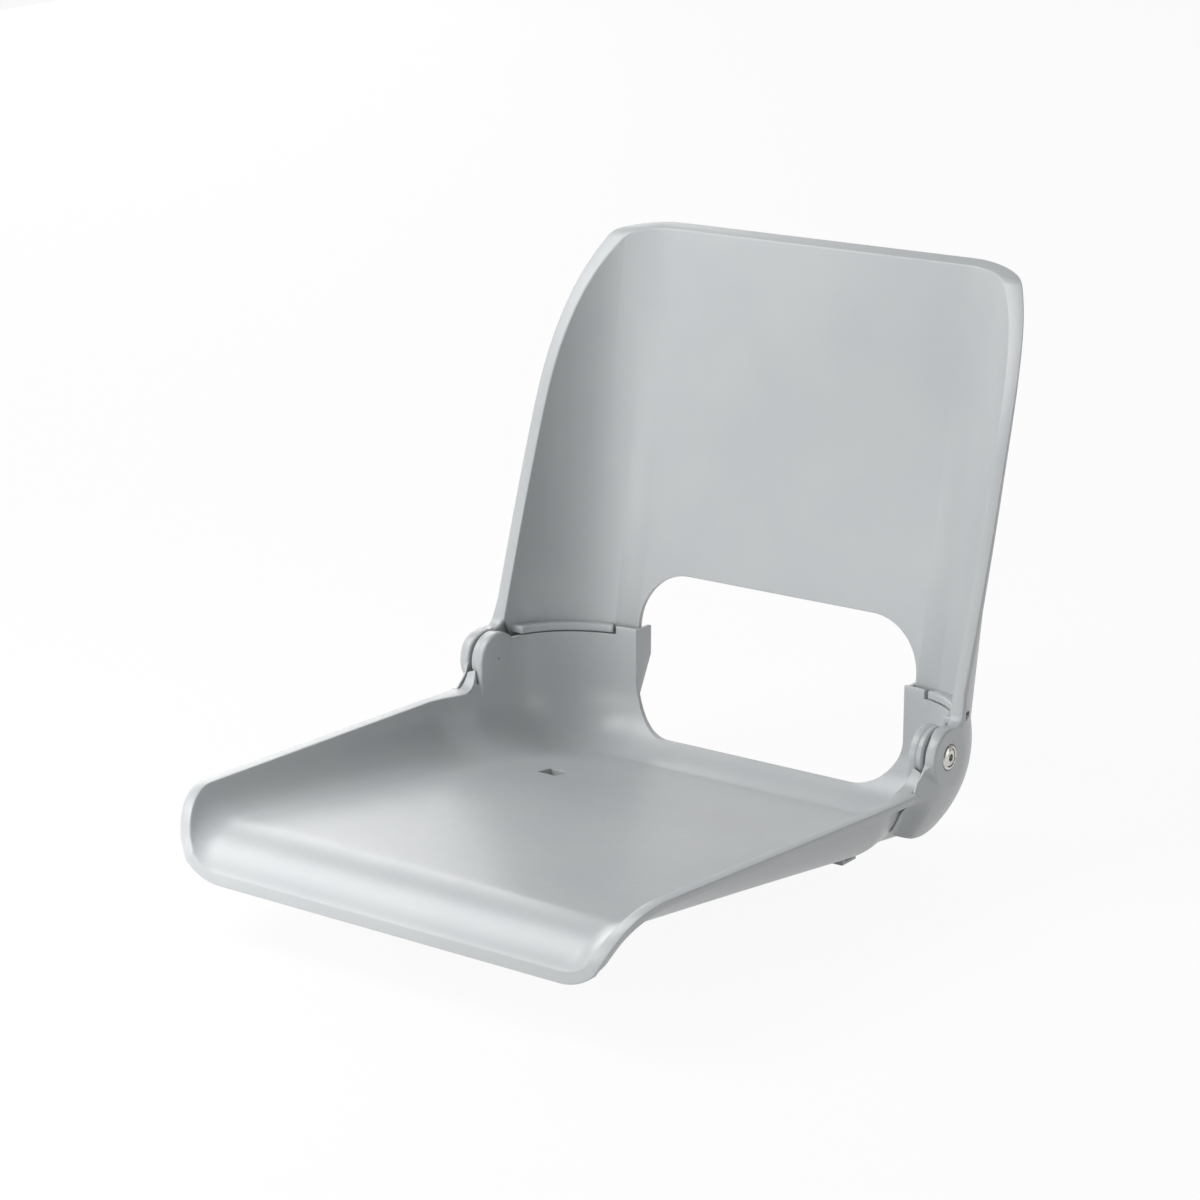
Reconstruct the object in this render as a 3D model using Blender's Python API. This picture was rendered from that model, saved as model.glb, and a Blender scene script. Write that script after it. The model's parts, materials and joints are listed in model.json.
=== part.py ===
"""Folding boat seat: a dished seat shell and a wrap-round backrest on two side hinges.

The seat faces -Y, X runs across it and +Z is up. The origin lies at the centre of the pedestal
face under the seat. Heights and depths in the sizes below are measured from the hinge axis
unless the comment says otherwise.
"""
import math

import bmesh
import bpy
from mathutils import Matrix, Vector

MM = 0.001

# Hinge axis above and behind the centre of the pedestal face
hinge_height = 98.0 * MM
hinge_set_back = 70.0 * MM

# Fits
touch_gap = 0.3 * MM
leg_clearance = 1.0 * MM
knuckle_gap = 1.0 * MM

# Seat shell
seat_wall = 3.2 * MM
front_reach = 358.0 * MM
upright_half_width = 182.0 * MM
rim_step = 9.0 * MM
front_narrowing = 9.5 * MM
side_end = 70.0 * MM
upright_front = 24.0 * MM
rim_front_drop = 7.3 * MM
rim_slope = 0.040
lip_round = 42.0 * MM
front_tuck = 13.5 * MM
crest_drop = 27.6 * MM
lip_roll = 43.4 * MM
lip_turn = math.radians(61.8)
pan_slope = 0.128
front_fillet = 30.0 * MM
rear_fillet = 41.0 * MM
bead_width = 8.5 * MM
bead_depth = 5.0 * MM
bead_end = 26.0 * MM
least_rim = 0.5 * MM

# Seat uprights
upright_back = 84.5 * MM
upright_corner = 62.5 * MM
upright_rise = 20.0 * MM
upright_top_slope = 0.08
rise_start = 35.0 * MM
rise_end = 8.0 * MM
notch_depth = 6.5 * MM
notch_last = math.radians(76.0)
gusset_wall = 3.2 * MM
gusset_reach = 20.0 * MM
gusset_step_drop = 10.0 * MM
gusset_foot_drop = 38.0 * MM
gusset_foot_reach = 6.0 * MM

# Window in the seat between the uprights
seat_window_set_in = 2.7 * MM
seat_window_drop = 64.0 * MM
seat_window_corner = 37.0 * MM

# Square opening in the pan and hooks under it
opening_side = 16.0 * MM
opening_offset = 106.0 * MM
opening_ahead = 35.0 * MM
hook_width = 12.0 * MM
hook_offset = 126.0 * MM
hook_wall = 3.5 * MM
hook_ahead = 36.0 * MM
hook_length = 41.0 * MM
hook_web_length = 17.0 * MM
hook_web_foot_height = 17.0 * MM
hook_foot_height = 9.5 * MM

# Pedestal face under the seat
pedestal_pitch = 127.0 * MM
pedestal_boss_radius = 12.0 * MM
pedestal_hub_radius = 20.0 * MM
rib_wall = 4.0 * MM
rib_set_up = 2.0 * MM

# Backrest shell
back_wall = 3.5 * MM
back_bead_width = 9.5 * MM
back_bead_depth = 5.0 * MM
back_recline = math.radians(9.4)
wing_clearance = 6.2 * MM
wing_radius = 68.2 * MM
wing_edge_lean = math.radians(17.57)
wing_edge_offset = 10.5 * MM
shoulder_height = 236.7 * MM
shoulder_lean = math.radians(34.4)
shoulder_round = 420.0 * MM
back_height = 304.7 * MM
back_top_rise = math.radians(19.0)
back_top_round = 18.0 * MM
back_window_step = 3.9 * MM
back_window_height = 57.0 * MM
back_window_corner = 41.0 * MM
leg_drop = 14.0 * MM
tongue_first = math.radians(1.0)
tongue_end_gap = math.radians(2.0)
tongue_seat_gap = 0.6 * MM

# Ears and knuckles of the backrest
ear_radius = 20.0 * MM
ear_thickness = 8.5 * MM
ear_set_out = 0.3 * MM
knuckle_radius = 60.0 * MM
knuckle_dome = 19.5 * MM
knuckle_wall = 3.0 * MM
knuckle_overlap = 4.5 * MM
knuckle_toe = 33.0 * MM
knuckle_lean = math.radians(12.0)
neck_round = 10.0 * MM
neck_thickness = 6.0 * MM

# Hinge hardware
hinge_boss_radius = 20.0 * MM
hinge_washer_thickness = 1.4 * MM
hinge_washer_radius = 13.0 * MM
screw_radius = 4.0 * MM
screw_head_radius = 6.4 * MM
screw_head_cone = 1.6 * MM
screw_head_rim = 0.6 * MM
socket_across_flats = 5.0 * MM
socket_depth = 1.8 * MM
cup_radius = 8.8 * MM
cup_recess = 2.0 * MM
cup_crown = 1.0 * MM
bush_wall = 2.2 * MM
insert_wall = 2.0 * MM
hinge_insert_length = 8.6 * MM
pin_mark_radius = 0.8 * MM
base_screw_radius = 4.0 * MM
base_insert_length = 14.0 * MM

# Facets
round_segments = 40
wing_segments = 14
outline_segments = 8
pan_columns = 3
lip_rows = 4
fillet_columns = 8

side_half_width = upright_half_width + rim_step
front_half_width = side_half_width - front_narrowing
wing_half_width = upright_half_width + seat_wall + wing_clearance
corner_x = upright_half_width - upright_corner
corner_y = upright_back - upright_corner
seat_window_half_width = corner_x - seat_window_set_in
back_window_half_width = seat_window_half_width + back_window_step
lip_start = -front_reach + lip_round
ear_inner = wing_half_width + back_wall + ear_set_out
ear_outer = ear_inner + ear_thickness
hinge_boss_face = ear_inner - hinge_washer_thickness - 2.0 * touch_gap
hinge_point = Vector((0.0, hinge_set_back, hinge_height))
leg_back = upright_back + seat_wall + leg_clearance + leg_drop * math.tan(back_recline)
back_set_back = leg_back * math.cos(back_recline)


def ease(fraction):
    fraction = min(1.0, max(0.0, fraction))
    return fraction * fraction * (3.0 - 2.0 * fraction)


def blend(first, last, fraction):
    return first + (last - first) * fraction


def rim_level(y):
    """Height of the seat's edge at a depth y, seen from the side."""
    if y <= lip_start:
        rise = lip_round ** 2 - (lip_start - y) ** 2
        return -rim_front_drop - lip_round + math.sqrt(max(0.0, rise))
    low = -rim_front_drop - rim_slope * (y - lip_start)
    top = upright_rise - upright_top_slope * y
    return blend(low, top, ease((y + rise_start) / (rise_start - rise_end)))


def rim_normal(y):
    """Direction that the seat's edge faces at a depth y."""
    if y <= -front_reach + 0.01 * MM:
        return Vector((0.0, -1.0, 0.0))
    step = 0.01 * MM
    slope = (rim_level(y + step) - rim_level(y - step)) / (2.0 * step)
    return Vector((0.0, -slope, 1.0)).normalized()


def pan_level(y):
    """Height of the pan's upper face on its flat middle."""
    crest_y = -front_reach + lip_roll * math.sin(lip_turn)
    lean = math.atan(pan_slope)
    tangent_y = crest_y + lip_roll * math.sin(lean)
    centre = -crest_drop - lip_roll
    if y < tangent_y:
        return centre + math.sqrt(max(0.0, lip_roll ** 2 - (y - crest_y) ** 2))
    return centre + lip_roll * math.cos(lean) - pan_slope * (y - tangent_y)


def pan_normal(y):
    """Downward direction square to the pan at a depth y."""
    step = 0.01 * MM
    first = max(y - step, -front_reach)
    slope = (pan_level(y + step) - pan_level(first)) / (y + step - first)
    return Vector((0.0, slope, -1.0)).normalized()


def half_width(y):
    """Inner half width of the seat at its edge."""
    if y < lip_start:
        return front_half_width - front_tuck * ((lip_start - y) / lip_round) ** 1.8
    if y < -side_end:
        return blend(front_half_width, side_half_width, (y - lip_start) / (-side_end - lip_start))
    return blend(side_half_width, upright_half_width, ease((y + side_end) / (side_end - upright_front)))


def fillet(y):
    fraction = (y - lip_start) / (-upright_front - lip_start)
    return blend(front_fillet, rear_fillet, min(1.0, max(0.0, fraction)))


def rise_length(height, radius):
    """Length along fillet and wall up to a height above the pan."""
    height = max(least_rim, height)
    if height < radius:
        return radius * math.acos(1.0 - height / radius)
    return radius * math.pi / 2.0 + height - radius


def rise_point(length, radius):
    """Outward reach, height and turn at a length along fillet and wall."""
    turn = length / radius
    if turn < math.pi / 2.0:
        return radius * math.sin(turn), radius * (1.0 - math.cos(turn)), turn
    return radius, radius + length - radius * math.pi / 2.0, math.pi / 2.0


def column_lengths(total):
    body = total - bead_depth
    if body < bead_depth:
        body = total / 2.0
    lengths = [body * step / fillet_columns for step in range(1, fillet_columns + 1)]
    return lengths + [total]


def side_section(base, radial, pan_y, edge_y, radius, bead):
    """Points of one wall section: inner face, edge bead and outer face, from pan to edge."""
    level = pan_level(pan_y)
    below = pan_normal(pan_y)
    total = rise_length(rim_level(edge_y) - level, radius)
    inner = []
    outer = []
    for length in [0.0] + column_lengths(total):
        reach, height, turn = rise_point(length, radius)
        point = base + radial * reach + Vector((0.0, 0.0, height))
        facing = (radial * math.sin(turn) + below * math.cos(turn)).normalized()
        inner.append(point)
        outer.append(point + facing * seat_wall)
    edge_facing = rim_normal(edge_y)
    across = (facing - edge_facing * facing.dot(edge_facing)).normalized()
    width = bead if bead else seat_wall
    depth = bead_depth if bead else bead_depth / 2.0
    crown = inner[-1] + across * width
    under = crown - (edge_facing if edge_y < lip_start else Vector((0.0, 0.0, 1.0))) * depth
    return inner, [crown, under], outer[:-1]


def seat_rows():
    """Depths of the seat's cross rows from the lip to the start of the rear corners."""
    step_gap = 0.4 * MM
    front = -front_reach
    depths = [blend(front, front + bead_depth, (n / lip_rows) ** 2) for n in range(lip_rows + 1)]
    first = front + bead_depth + step_gap
    depths += [first + (lip_start - first) * (n / 8.0) ** 1.3 for n in range(9)]
    depths += [blend(lip_start, -side_end, n / 7.0) for n in range(1, 8)]
    depths += [blend(-side_end, -rise_start, n / 3.0) for n in range(1, 4)]
    depths += [blend(-rise_start, -bead_end, n / 3.0) for n in range(1, 4)]
    first = -bead_end + step_gap
    depths += [first] + [blend(first, -rise_end, n / 7.0) for n in range(1, 8)]
    depths += [blend(-rise_end, corner_y, n / 3.0) for n in range(1, 4)]
    return depths


def seat_loop(right, pan_half, pan_y, front_edge):
    """One closed ring of points across the whole seat."""
    inner, crown, outer = right
    flat = []
    under = []
    below = pan_normal(pan_y)
    for column in range(pan_columns):
        point = Vector((pan_half * column / pan_columns, pan_y, pan_level(pan_y)))
        flat.append(point)
        under.append(point + below * seat_wall)
    upper_half = flat + inner
    lower_half = under + outer
    if front_edge is not None:
        lower_half, crown = front_edge(upper_half, crown)
    mirror = Vector((-1.0, 1.0, 1.0))
    upper = [p * mirror for p in reversed(upper_half[1:])] + upper_half
    lower = list(reversed(lower_half)) + [p * mirror for p in lower_half[1:]]
    return upper + crown + lower + [p * mirror for p in reversed(crown)]


def lip_face(upper_half, crown):
    """Lower edge of the lip's flat front face."""
    lower = []
    for point, following in zip(upper_half[:-1], upper_half[1:]):
        along = (following - point).normalized()
        lower.append(point + Vector((along.z, 0.0, -along.x)) * bead_width)
    along = (upper_half[-1] - upper_half[-2]).normalized()
    corner = upper_half[-1] + Vector((along.z, 0.0, -along.x)) * bead_width
    return lower, [corner, (corner + lower[-1]) / 2.0]


def map_grid(table):
    """Skin over a table of points, one row of points per grid row."""
    rows = len(table)
    columns = len(table[0])
    mesh = bmesh.new()
    bmesh.ops.create_grid(mesh, x_segments=columns - 1, y_segments=rows - 1, size=0.5)
    for vertex in mesh.verts:
        column = round((vertex.co.x + 0.5) * (columns - 1))
        row = round((vertex.co.y + 0.5) * (rows - 1))
        vertex.co = table[row][column]
    return mesh


def bead_at(y):
    if y > -bead_end:
        return 0.0
    return bead_width + max(0.0, side_half_width - half_width(y)) * (y > -side_end)


def seat_skin():
    """Closed shell of the seat before its openings and fittings."""
    rings = []
    nominal = rim_level(lip_start) - pan_level(lip_start)
    for index, y in enumerate(seat_rows()):
        radius = fillet(y)
        height = nominal if y < lip_start else rim_level(y) - pan_level(y)
        reach = rise_point(rise_length(height, radius), radius)[0]
        pan_half = half_width(y) - reach
        base = Vector((pan_half, y, pan_level(y)))
        right = side_section(base, Vector((1.0, 0.0, 0.0)), y, y, radius, bead_at(y))
        rings.append(seat_loop(right, pan_half, y, lip_face if index == 0 else None))
    half = pan_columns + fillet_columns + 1
    for row in range(1, lip_rows + 1):
        back = Vector((0.0, rings[row][0].y - rings[0][0].y, 0.0))
        for column in range(2 * half + 3, 4 * half + 2):
            rings[row][column] = rings[0][column] + back
    ring_radius = upright_corner - rear_fillet
    steps = 10
    for step in range(1, steps + 1):
        turn = math.pi / 2.0 * step / steps
        radial = Vector((math.cos(turn), math.sin(turn), 0.0))
        pan_y = corner_y + ring_radius * radial.y
        pan_half = corner_x + ring_radius * radial.x
        base = Vector((pan_half, pan_y, pan_level(pan_y)))
        edge_y = corner_y + upright_corner * radial.y
        right = side_section(base, radial, pan_y, edge_y, rear_fillet, 0.0)
        rings.append(seat_loop(right, pan_half, pan_y, None))
    skin = map_grid([ring + ring[:1] for ring in rings])
    pan_y = corner_y + ring_radius
    back_rows = []
    for column in range(-pan_columns, pan_columns + 1):
        base = Vector((corner_x * column / pan_columns, pan_y, pan_level(pan_y)))
        section = side_section(base, Vector((0.0, 1.0, 0.0)), pan_y, upright_back, rear_fillet, 0.0)
        inner, crown, outer = section
        back_rows.append(inner + crown + list(reversed(outer)))
    back = map_grid(back_rows)
    spare = bpy.data.meshes.new("seat_back_rows")
    back.to_mesh(spare)
    back.free()
    skin.from_mesh(spare)
    bpy.data.meshes.remove(spare)
    bmesh.ops.remove_doubles(skin, verts=skin.verts, dist=0.02 * MM)
    open_edges = [edge for edge in skin.edges if edge.is_boundary]
    bmesh.ops.holes_fill(skin, edges=open_edges, sides=0)
    bmesh.ops.recalc_face_normals(skin, faces=skin.faces)
    bmesh.ops.translate(skin, vec=hinge_point, verts=skin.verts)
    return skin


def rounded(corners, radii):
    """Outline through corners in a plane, each rounded by its own radius."""
    points = []
    count = len(corners)
    for index, corner in enumerate(corners):
        here = Vector(corner)
        before = (Vector(corners[index - 1]) - here).normalized()
        after = (Vector(corners[(index + 1) % count]) - here).normalized()
        radius = radii[index]
        if radius <= 0.0:
            points.append(here)
            continue
        opening = before.angle(after)
        reach = radius / math.tan(opening / 2.0)
        middle = here + (before + after).normalized() * radius / math.sin(opening / 2.0)
        first = here + before * reach - middle
        sweep = math.pi - opening
        if first.x * (after.y) - first.y * (after.x) < 0.0:
            sweep = -sweep
        for step in range(outline_segments + 1):
            spin = Matrix.Rotation(sweep * step / outline_segments, 2)
            points.append(middle + spin @ first)
    return points


side_axes = Matrix(((0, 0, 1, 0), (1, 0, 0, 0), (0, 1, 0, 0), (0, 0, 0, 1)))
front_axes = Matrix(((1, 0, 0, 0), (0, 0, -1, 0), (0, 1, 0, 0), (0, 0, 0, 1)))
plan_axes = Matrix.Identity(4)


def slab(points, first, last, axes):
    """Solid made by extruding a flat outline between two distances along its normal."""
    curve = bpy.data.curves.new("outline", "CURVE")
    curve.dimensions = "2D"
    curve.fill_mode = "BOTH"
    curve.extrude = abs(last - first) / 2.0
    spline = curve.splines.new("POLY")
    spline.points.add(len(points) - 1)
    for target, point in zip(spline.points, points):
        target.co = (point[0], point[1], 0.0, 1.0)
    spline.use_cyclic_u = True
    holder = bpy.data.objects.new("outline", curve)
    bpy.context.scene.collection.objects.link(holder)
    bpy.context.view_layer.update()
    data = bpy.data.meshes.new_from_object(holder)
    mesh = bmesh.new()
    mesh.from_mesh(data)
    bpy.data.objects.remove(holder)
    bpy.data.curves.remove(curve)
    bpy.data.meshes.remove(data)
    bmesh.ops.remove_doubles(mesh, verts=mesh.verts, dist=0.001 * MM)
    bmesh.ops.dissolve_limit(mesh, angle_limit=0.001, verts=mesh.verts, edges=mesh.edges)
    shift = Matrix.Translation((0.0, 0.0, (first + last) / 2.0))
    bmesh.ops.transform(mesh, matrix=axes @ shift, verts=mesh.verts)
    bmesh.ops.recalc_face_normals(mesh, faces=mesh.faces)
    return mesh


def rod(radius, first, last, axis, segments=round_segments, end_radius=None):
    """Round bar along X or Z between two distances."""
    mesh = bmesh.new()
    second = radius if end_radius is None else end_radius
    bmesh.ops.create_cone(mesh, cap_ends=True, segments=segments, radius1=radius,
                          radius2=second, depth=last - first)
    bmesh.ops.translate(mesh, vec=(0.0, 0.0, (first + last) / 2.0), verts=mesh.verts)
    if axis == "X":
        bmesh.ops.transform(mesh, matrix=side_axes, verts=mesh.verts)
    return mesh


def lathe(profile, segments=round_segments):
    """Closed body turned about the X axis from a profile of (radius, x) points."""
    mesh = bmesh.new()
    ring = [mesh.verts.new((x, 0.0, radius)) for radius, x in profile]
    on_axis = profile[0][0] == 0.0
    edges = [mesh.edges.new((ring[n - 1], ring[n])) for n in range(1 if on_axis else 0, len(ring))]
    bmesh.ops.spin(mesh, geom=ring + edges, cent=(0.0, 0.0, 0.0), axis=(1.0, 0.0, 0.0),
                   angle=2.0 * math.pi, steps=segments, use_merge=True)
    bmesh.ops.remove_doubles(mesh, verts=mesh.verts, dist=0.001 * MM)
    bmesh.ops.recalc_face_normals(mesh, faces=mesh.faces)
    return mesh


def moved(mesh, x=0.0, y=0.0, z=0.0):
    bmesh.ops.translate(mesh, vec=(x, y, z), verts=mesh.verts)
    return mesh


def mirrored(mesh):
    """Copy of a body on the other side of the seat."""
    twin = mesh.copy()
    bmesh.ops.scale(twin, vec=(-1.0, 1.0, 1.0), verts=twin.verts)
    bmesh.ops.reverse_faces(twin, faces=twin.faces)
    return twin


def plastic(name, colour, roughness, metallic=0.0):
    material = bpy.data.materials.new(name)
    material.use_nodes = True
    shader = material.node_tree.nodes["Principled BSDF"]
    shader.inputs["Base Color"].default_value = colour
    shader.inputs["Roughness"].default_value = roughness
    shader.inputs["Metallic"].default_value = metallic
    material.diffuse_color = colour
    return material


def make(name, mesh, material, collection, origin=Vector((0.0, 0.0, 0.0))):
    """Named object of the part with its origin at a chosen point."""
    bmesh.ops.translate(mesh, vec=-origin, verts=mesh.verts)
    data = bpy.data.meshes.new(name)
    mesh.to_mesh(data)
    mesh.free()
    data.materials.append(material)
    item = bpy.data.objects.new(name, data)
    item.location = origin
    collection.objects.link(item)
    return item


def combine(item, tool, operation):
    """Join, cut or keep the common part of an object and a body given in world places."""
    data = bpy.data.meshes.new("tool")
    tool.to_mesh(data)
    tool.free()
    helper = bpy.data.objects.new("tool", data)
    bpy.context.scene.collection.objects.link(helper)
    step = item.modifiers.new("step", "BOOLEAN")
    step.operation = operation
    step.solver = "EXACT"
    step.object = helper
    bpy.context.view_layer.update()
    graph = bpy.context.evaluated_depsgraph_get()
    result = bpy.data.meshes.new_from_object(item.evaluated_get(graph))
    item.modifiers.clear()
    old = item.data
    item.data = result
    bpy.data.meshes.remove(old)
    result.name = item.name
    bpy.data.objects.remove(helper)
    bpy.data.meshes.remove(data)


def combine_both(item, tool, operation):
    combine(item, mirrored(tool), operation)
    combine(item, tool, operation)


def finish(item, angle):
    """Merge stray points, flatten coplanar faces and shade round faces smooth."""
    mesh = bmesh.new()
    mesh.from_mesh(item.data)
    bmesh.ops.remove_doubles(mesh, verts=mesh.verts, dist=0.01 * MM)
    bmesh.ops.dissolve_degenerate(mesh, edges=mesh.edges, dist=0.005 * MM)
    bmesh.ops.recalc_face_normals(mesh, faces=mesh.faces)
    mesh.to_mesh(item.data)
    mesh.free()
    item.data.shade_smooth()
    item.data.set_sharp_from_angle(angle=angle)


def knuckle_outline(radius, gap):
    """Side view of the room round an ear and its knuckle, out to far below and behind."""
    far = 3.0 * knuckle_radius
    toe_x = -knuckle_toe - gap
    points = []
    for step in range(outline_segments + 1):
        turn = math.pi / 2.0 + math.pi / 2.0 * step / outline_segments
        points.append((radius * math.cos(turn), radius * math.sin(turn)))
    heel_x = toe_x - (far - knuckle_toe) * math.tan(knuckle_lean)
    points += [(toe_x, -knuckle_toe), (heel_x, -far), (far, -far), (far, radius)]
    return points


def seat_shell(material, collection):
    seat = make("seat_shell", seat_skin(), material, collection)
    window = rounded([(-seat_window_half_width, -seat_window_drop),
                      (seat_window_half_width, -seat_window_drop),
                      (seat_window_half_width, 2.0 * upright_rise),
                      (-seat_window_half_width, 2.0 * upright_rise)],
                     [seat_window_corner, seat_window_corner, 0.0, 0.0])
    far_back = upright_back + 2.0 * seat_wall
    pan_end = corner_y + upright_corner - rear_fillet
    cutter = slab(window, -far_back, -pan_end, front_axes)
    combine(seat, moved(cutter, y=hinge_set_back, z=hinge_height), "DIFFERENCE")
    outline = knuckle_outline(ear_radius + knuckle_gap, knuckle_gap)
    room = slab(outline, ear_inner - knuckle_overlap - knuckle_gap, ear_outer + bead_width, side_axes)
    combine_both(seat, moved(room, y=hinge_set_back, z=hinge_height), "DIFFERENCE")
    combine_both(seat, notch_body(), "DIFFERENCE")
    combine_both(seat, gusset_body(), "UNION")
    boss = rod(hinge_boss_radius, upright_half_width + touch_gap, hinge_boss_face, "X")
    combine_both(seat, moved(boss, y=hinge_set_back, z=hinge_height), "UNION")
    socket = rod(screw_radius + insert_wall + 2.0 * touch_gap,
                 hinge_boss_face - hinge_insert_length - touch_gap,
                 hinge_boss_face + bead_width, "X")
    combine_both(seat, moved(socket, y=hinge_set_back, z=hinge_height), "DIFFERENCE")
    mark = rod(pin_mark_radius, upright_half_width - seat_wall, hinge_boss_face - seat_wall, "X", 12)
    combine_both(seat, moved(mark, y=hinge_set_back, z=hinge_height), "DIFFERENCE")
    half = opening_side / 2.0
    square = [(-opening_offset - half, -opening_ahead - half),
              (-opening_offset + half, -opening_ahead - half),
              (-opening_offset + half, -opening_ahead + half),
              (-opening_offset - half, -opening_ahead + half)]
    lowest = pan_level(corner_y) - rear_fillet
    cutter = slab(square, lowest, 0.0, plan_axes)
    combine(seat, moved(cutter, y=hinge_set_back, z=hinge_height), "DIFFERENCE")
    combine_both(seat, hook_body(), "UNION")
    pedestal_bodies(seat)
    finish(seat, math.radians(40.0))
    return seat


def notch_body():
    """Room above an upright's side and corner for the backrest's tongue."""
    inner = upright_corner - 2.0 * seat_wall
    outer = upright_corner + 2.0 * seat_wall
    plan = ring_sector(inner, outer, 0.0, notch_last)
    plan += [(corner_x + outer, -side_end), (corner_x + inner, -side_end)]
    level = upright_rise - notch_depth
    body = slab(plan, level, level + 4.0 * notch_depth, plan_axes)
    lean = Matrix.Rotation(-math.atan(upright_top_slope), 4, "X")
    bmesh.ops.transform(body, matrix=lean, verts=body.verts)
    return moved(body, y=hinge_set_back, z=hinge_height)


def ring_sector(inner, outer, first, last):
    """Plan of a curved strip round a rear corner of the seat."""
    turns = [blend(first, last, step / wing_segments) for step in range(wing_segments + 1)]
    near = [(corner_x + inner * math.cos(t), corner_y + inner * math.sin(t)) for t in turns]
    far = [(corner_x + outer * math.cos(t), corner_y + outer * math.sin(t)) for t in turns]
    return near + list(reversed(far))


def gusset_body():
    """Plate behind an upright's inner edge, beside the backrest's leg."""
    top = upright_rise - upright_top_slope * upright_back
    front = upright_back + seat_wall / 2.0
    side = [(front, -gusset_foot_drop), (upright_back + gusset_foot_reach, -gusset_foot_drop),
            (upright_back + gusset_reach, -gusset_step_drop),
            (upright_back + gusset_reach, top), (front, top)]
    body = slab(side, seat_window_half_width, seat_window_half_width + gusset_wall, side_axes)
    return moved(body, y=hinge_set_back, z=hinge_height)


def hook_body():
    """Small hook under the pan: a web and a foot with a slot above it, open to the rear."""
    front = hinge_set_back - hook_ahead
    web_back = front + hook_web_length
    foot_back = front + hook_length
    pan = hinge_height + pan_level(-hook_ahead + hook_web_length) - seat_wall / 2.0
    side = [(front, hook_web_foot_height), (web_back, hook_web_foot_height - hook_wall),
            (web_back, hook_foot_height), (foot_back, hook_foot_height),
            (foot_back, hook_foot_height + hook_wall),
            (web_back + hook_wall, hook_foot_height + hook_wall),
            (web_back + hook_wall, pan), (front, pan)]
    return slab(side, hook_offset - hook_width / 2.0, hook_offset + hook_width / 2.0, side_axes)


def pedestal_bodies(seat):
    """Bosses, hub and ribs that carry the seat on its pedestal."""
    half = pedestal_pitch / 2.0
    reach = math.hypot(half, half)

    def pan_under(y):
        return hinge_height + pan_level(y - hinge_set_back) - seat_wall / 2.0

    for side in (-1.0, 1.0):
        rib = bmesh.new()
        bmesh.ops.create_cube(rib, size=1.0)
        bmesh.ops.scale(rib, vec=(2.0 * reach, rib_wall, 1.0), verts=rib.verts)
        bmesh.ops.rotate(rib, matrix=Matrix.Rotation(side * math.pi / 4.0, 3, "Z"), verts=rib.verts)
        for vertex in rib.verts:
            vertex.co.z = pan_under(vertex.co.y) if vertex.co.z > 0.0 else rib_set_up
        combine(seat, rib, "UNION")
    combine(seat, rod(pedestal_hub_radius, 0.0, pan_under(0.0), "Z"), "UNION")
    for y in (-half, half):
        boss = rod(pedestal_boss_radius, 0.0, pan_under(y), "Z")
        combine_both(seat, moved(boss, x=half, y=y), "UNION")
        socket = rod(base_screw_radius + insert_wall + 2.0 * touch_gap, -bead_depth,
                     base_insert_length + touch_gap, "Z")
        combine_both(seat, moved(socket, x=half, y=y), "DIFFERENCE")


def wing_plan(first, last):
    """Plan of the backrest's bent sheet between two distances from its inner face."""
    centre_x = wing_half_width - wing_radius
    centre_y = back_set_back - wing_radius

    def path(offset):
        radius = wing_radius + offset
        run = [(centre_x + radius, -wing_radius)]
        for step in range(wing_segments + 1):
            turn = math.pi / 2.0 * step / wing_segments
            run.append((centre_x + radius * math.cos(turn), centre_y + radius * math.sin(turn)))
        return run + [(-x, y) for x, y in reversed(run)]

    return path(first) + list(reversed(path(last)))


def crossing(first, first_turn, second, second_turn):
    """Point where two lines meet, each given by a point and a direction."""
    a = Vector((math.cos(first_turn), math.sin(first_turn)))
    b = Vector((math.cos(second_turn), math.sin(second_turn)))
    apart = second - first
    along = (apart.x * b.y - apart.y * b.x) / (a.x * b.y - a.y * b.x)
    return first + a * along


def back_side_view(inset, bottom):
    """Side view of the backrest inside its front and top edge, set in by a distance."""
    up = math.pi / 2.0
    edge_turn = up - wing_edge_lean
    shoulder_turn = up - shoulder_lean
    start = Vector((math.sin(edge_turn), -math.cos(edge_turn))) * wing_edge_offset
    span = (shoulder_height - start.y) / math.sin(edge_turn)
    shoulder = start + Vector((math.cos(edge_turn), math.sin(edge_turn))) * span
    span = (back_height - shoulder.y) / math.sin(shoulder_turn)
    top = shoulder + Vector((math.cos(shoulder_turn), math.sin(shoulder_turn))) * span

    def inward(turn):
        return Vector((math.sin(turn), -math.cos(turn))) * inset

    edge = start + inward(edge_turn)
    slant = shoulder + inward(shoulder_turn)
    crown = top + inward(back_top_rise)
    far = back_set_back + back_height
    level = Vector((0.0, -bottom))
    corners = [crossing(edge, edge_turn, level, 0.0),
               crossing(edge, edge_turn, slant, shoulder_turn),
               crossing(slant, shoulder_turn, crown, back_top_rise),
               crossing(crown, back_top_rise, Vector((far, 0.0)), up),
               Vector((far, -bottom))]
    return rounded(corners, [0.0, shoulder_round, back_top_round, 0.0, 0.0])


def common(first, second, label):
    """Body shared by two solids."""
    holder = bpy.data.collections.new(label)
    bpy.context.scene.collection.children.link(holder)
    item = make(label, first, bpy.data.materials.new(label), holder)
    combine(item, second, "INTERSECT")
    mesh = bmesh.new()
    mesh.from_mesh(item.data)
    bpy.data.meshes.remove(item.data)
    bpy.data.collections.remove(holder)
    return mesh


def reclined(mesh):
    bmesh.ops.rotate(mesh, matrix=Matrix.Rotation(-back_recline, 3, "X"), verts=mesh.verts)
    return mesh


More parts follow.
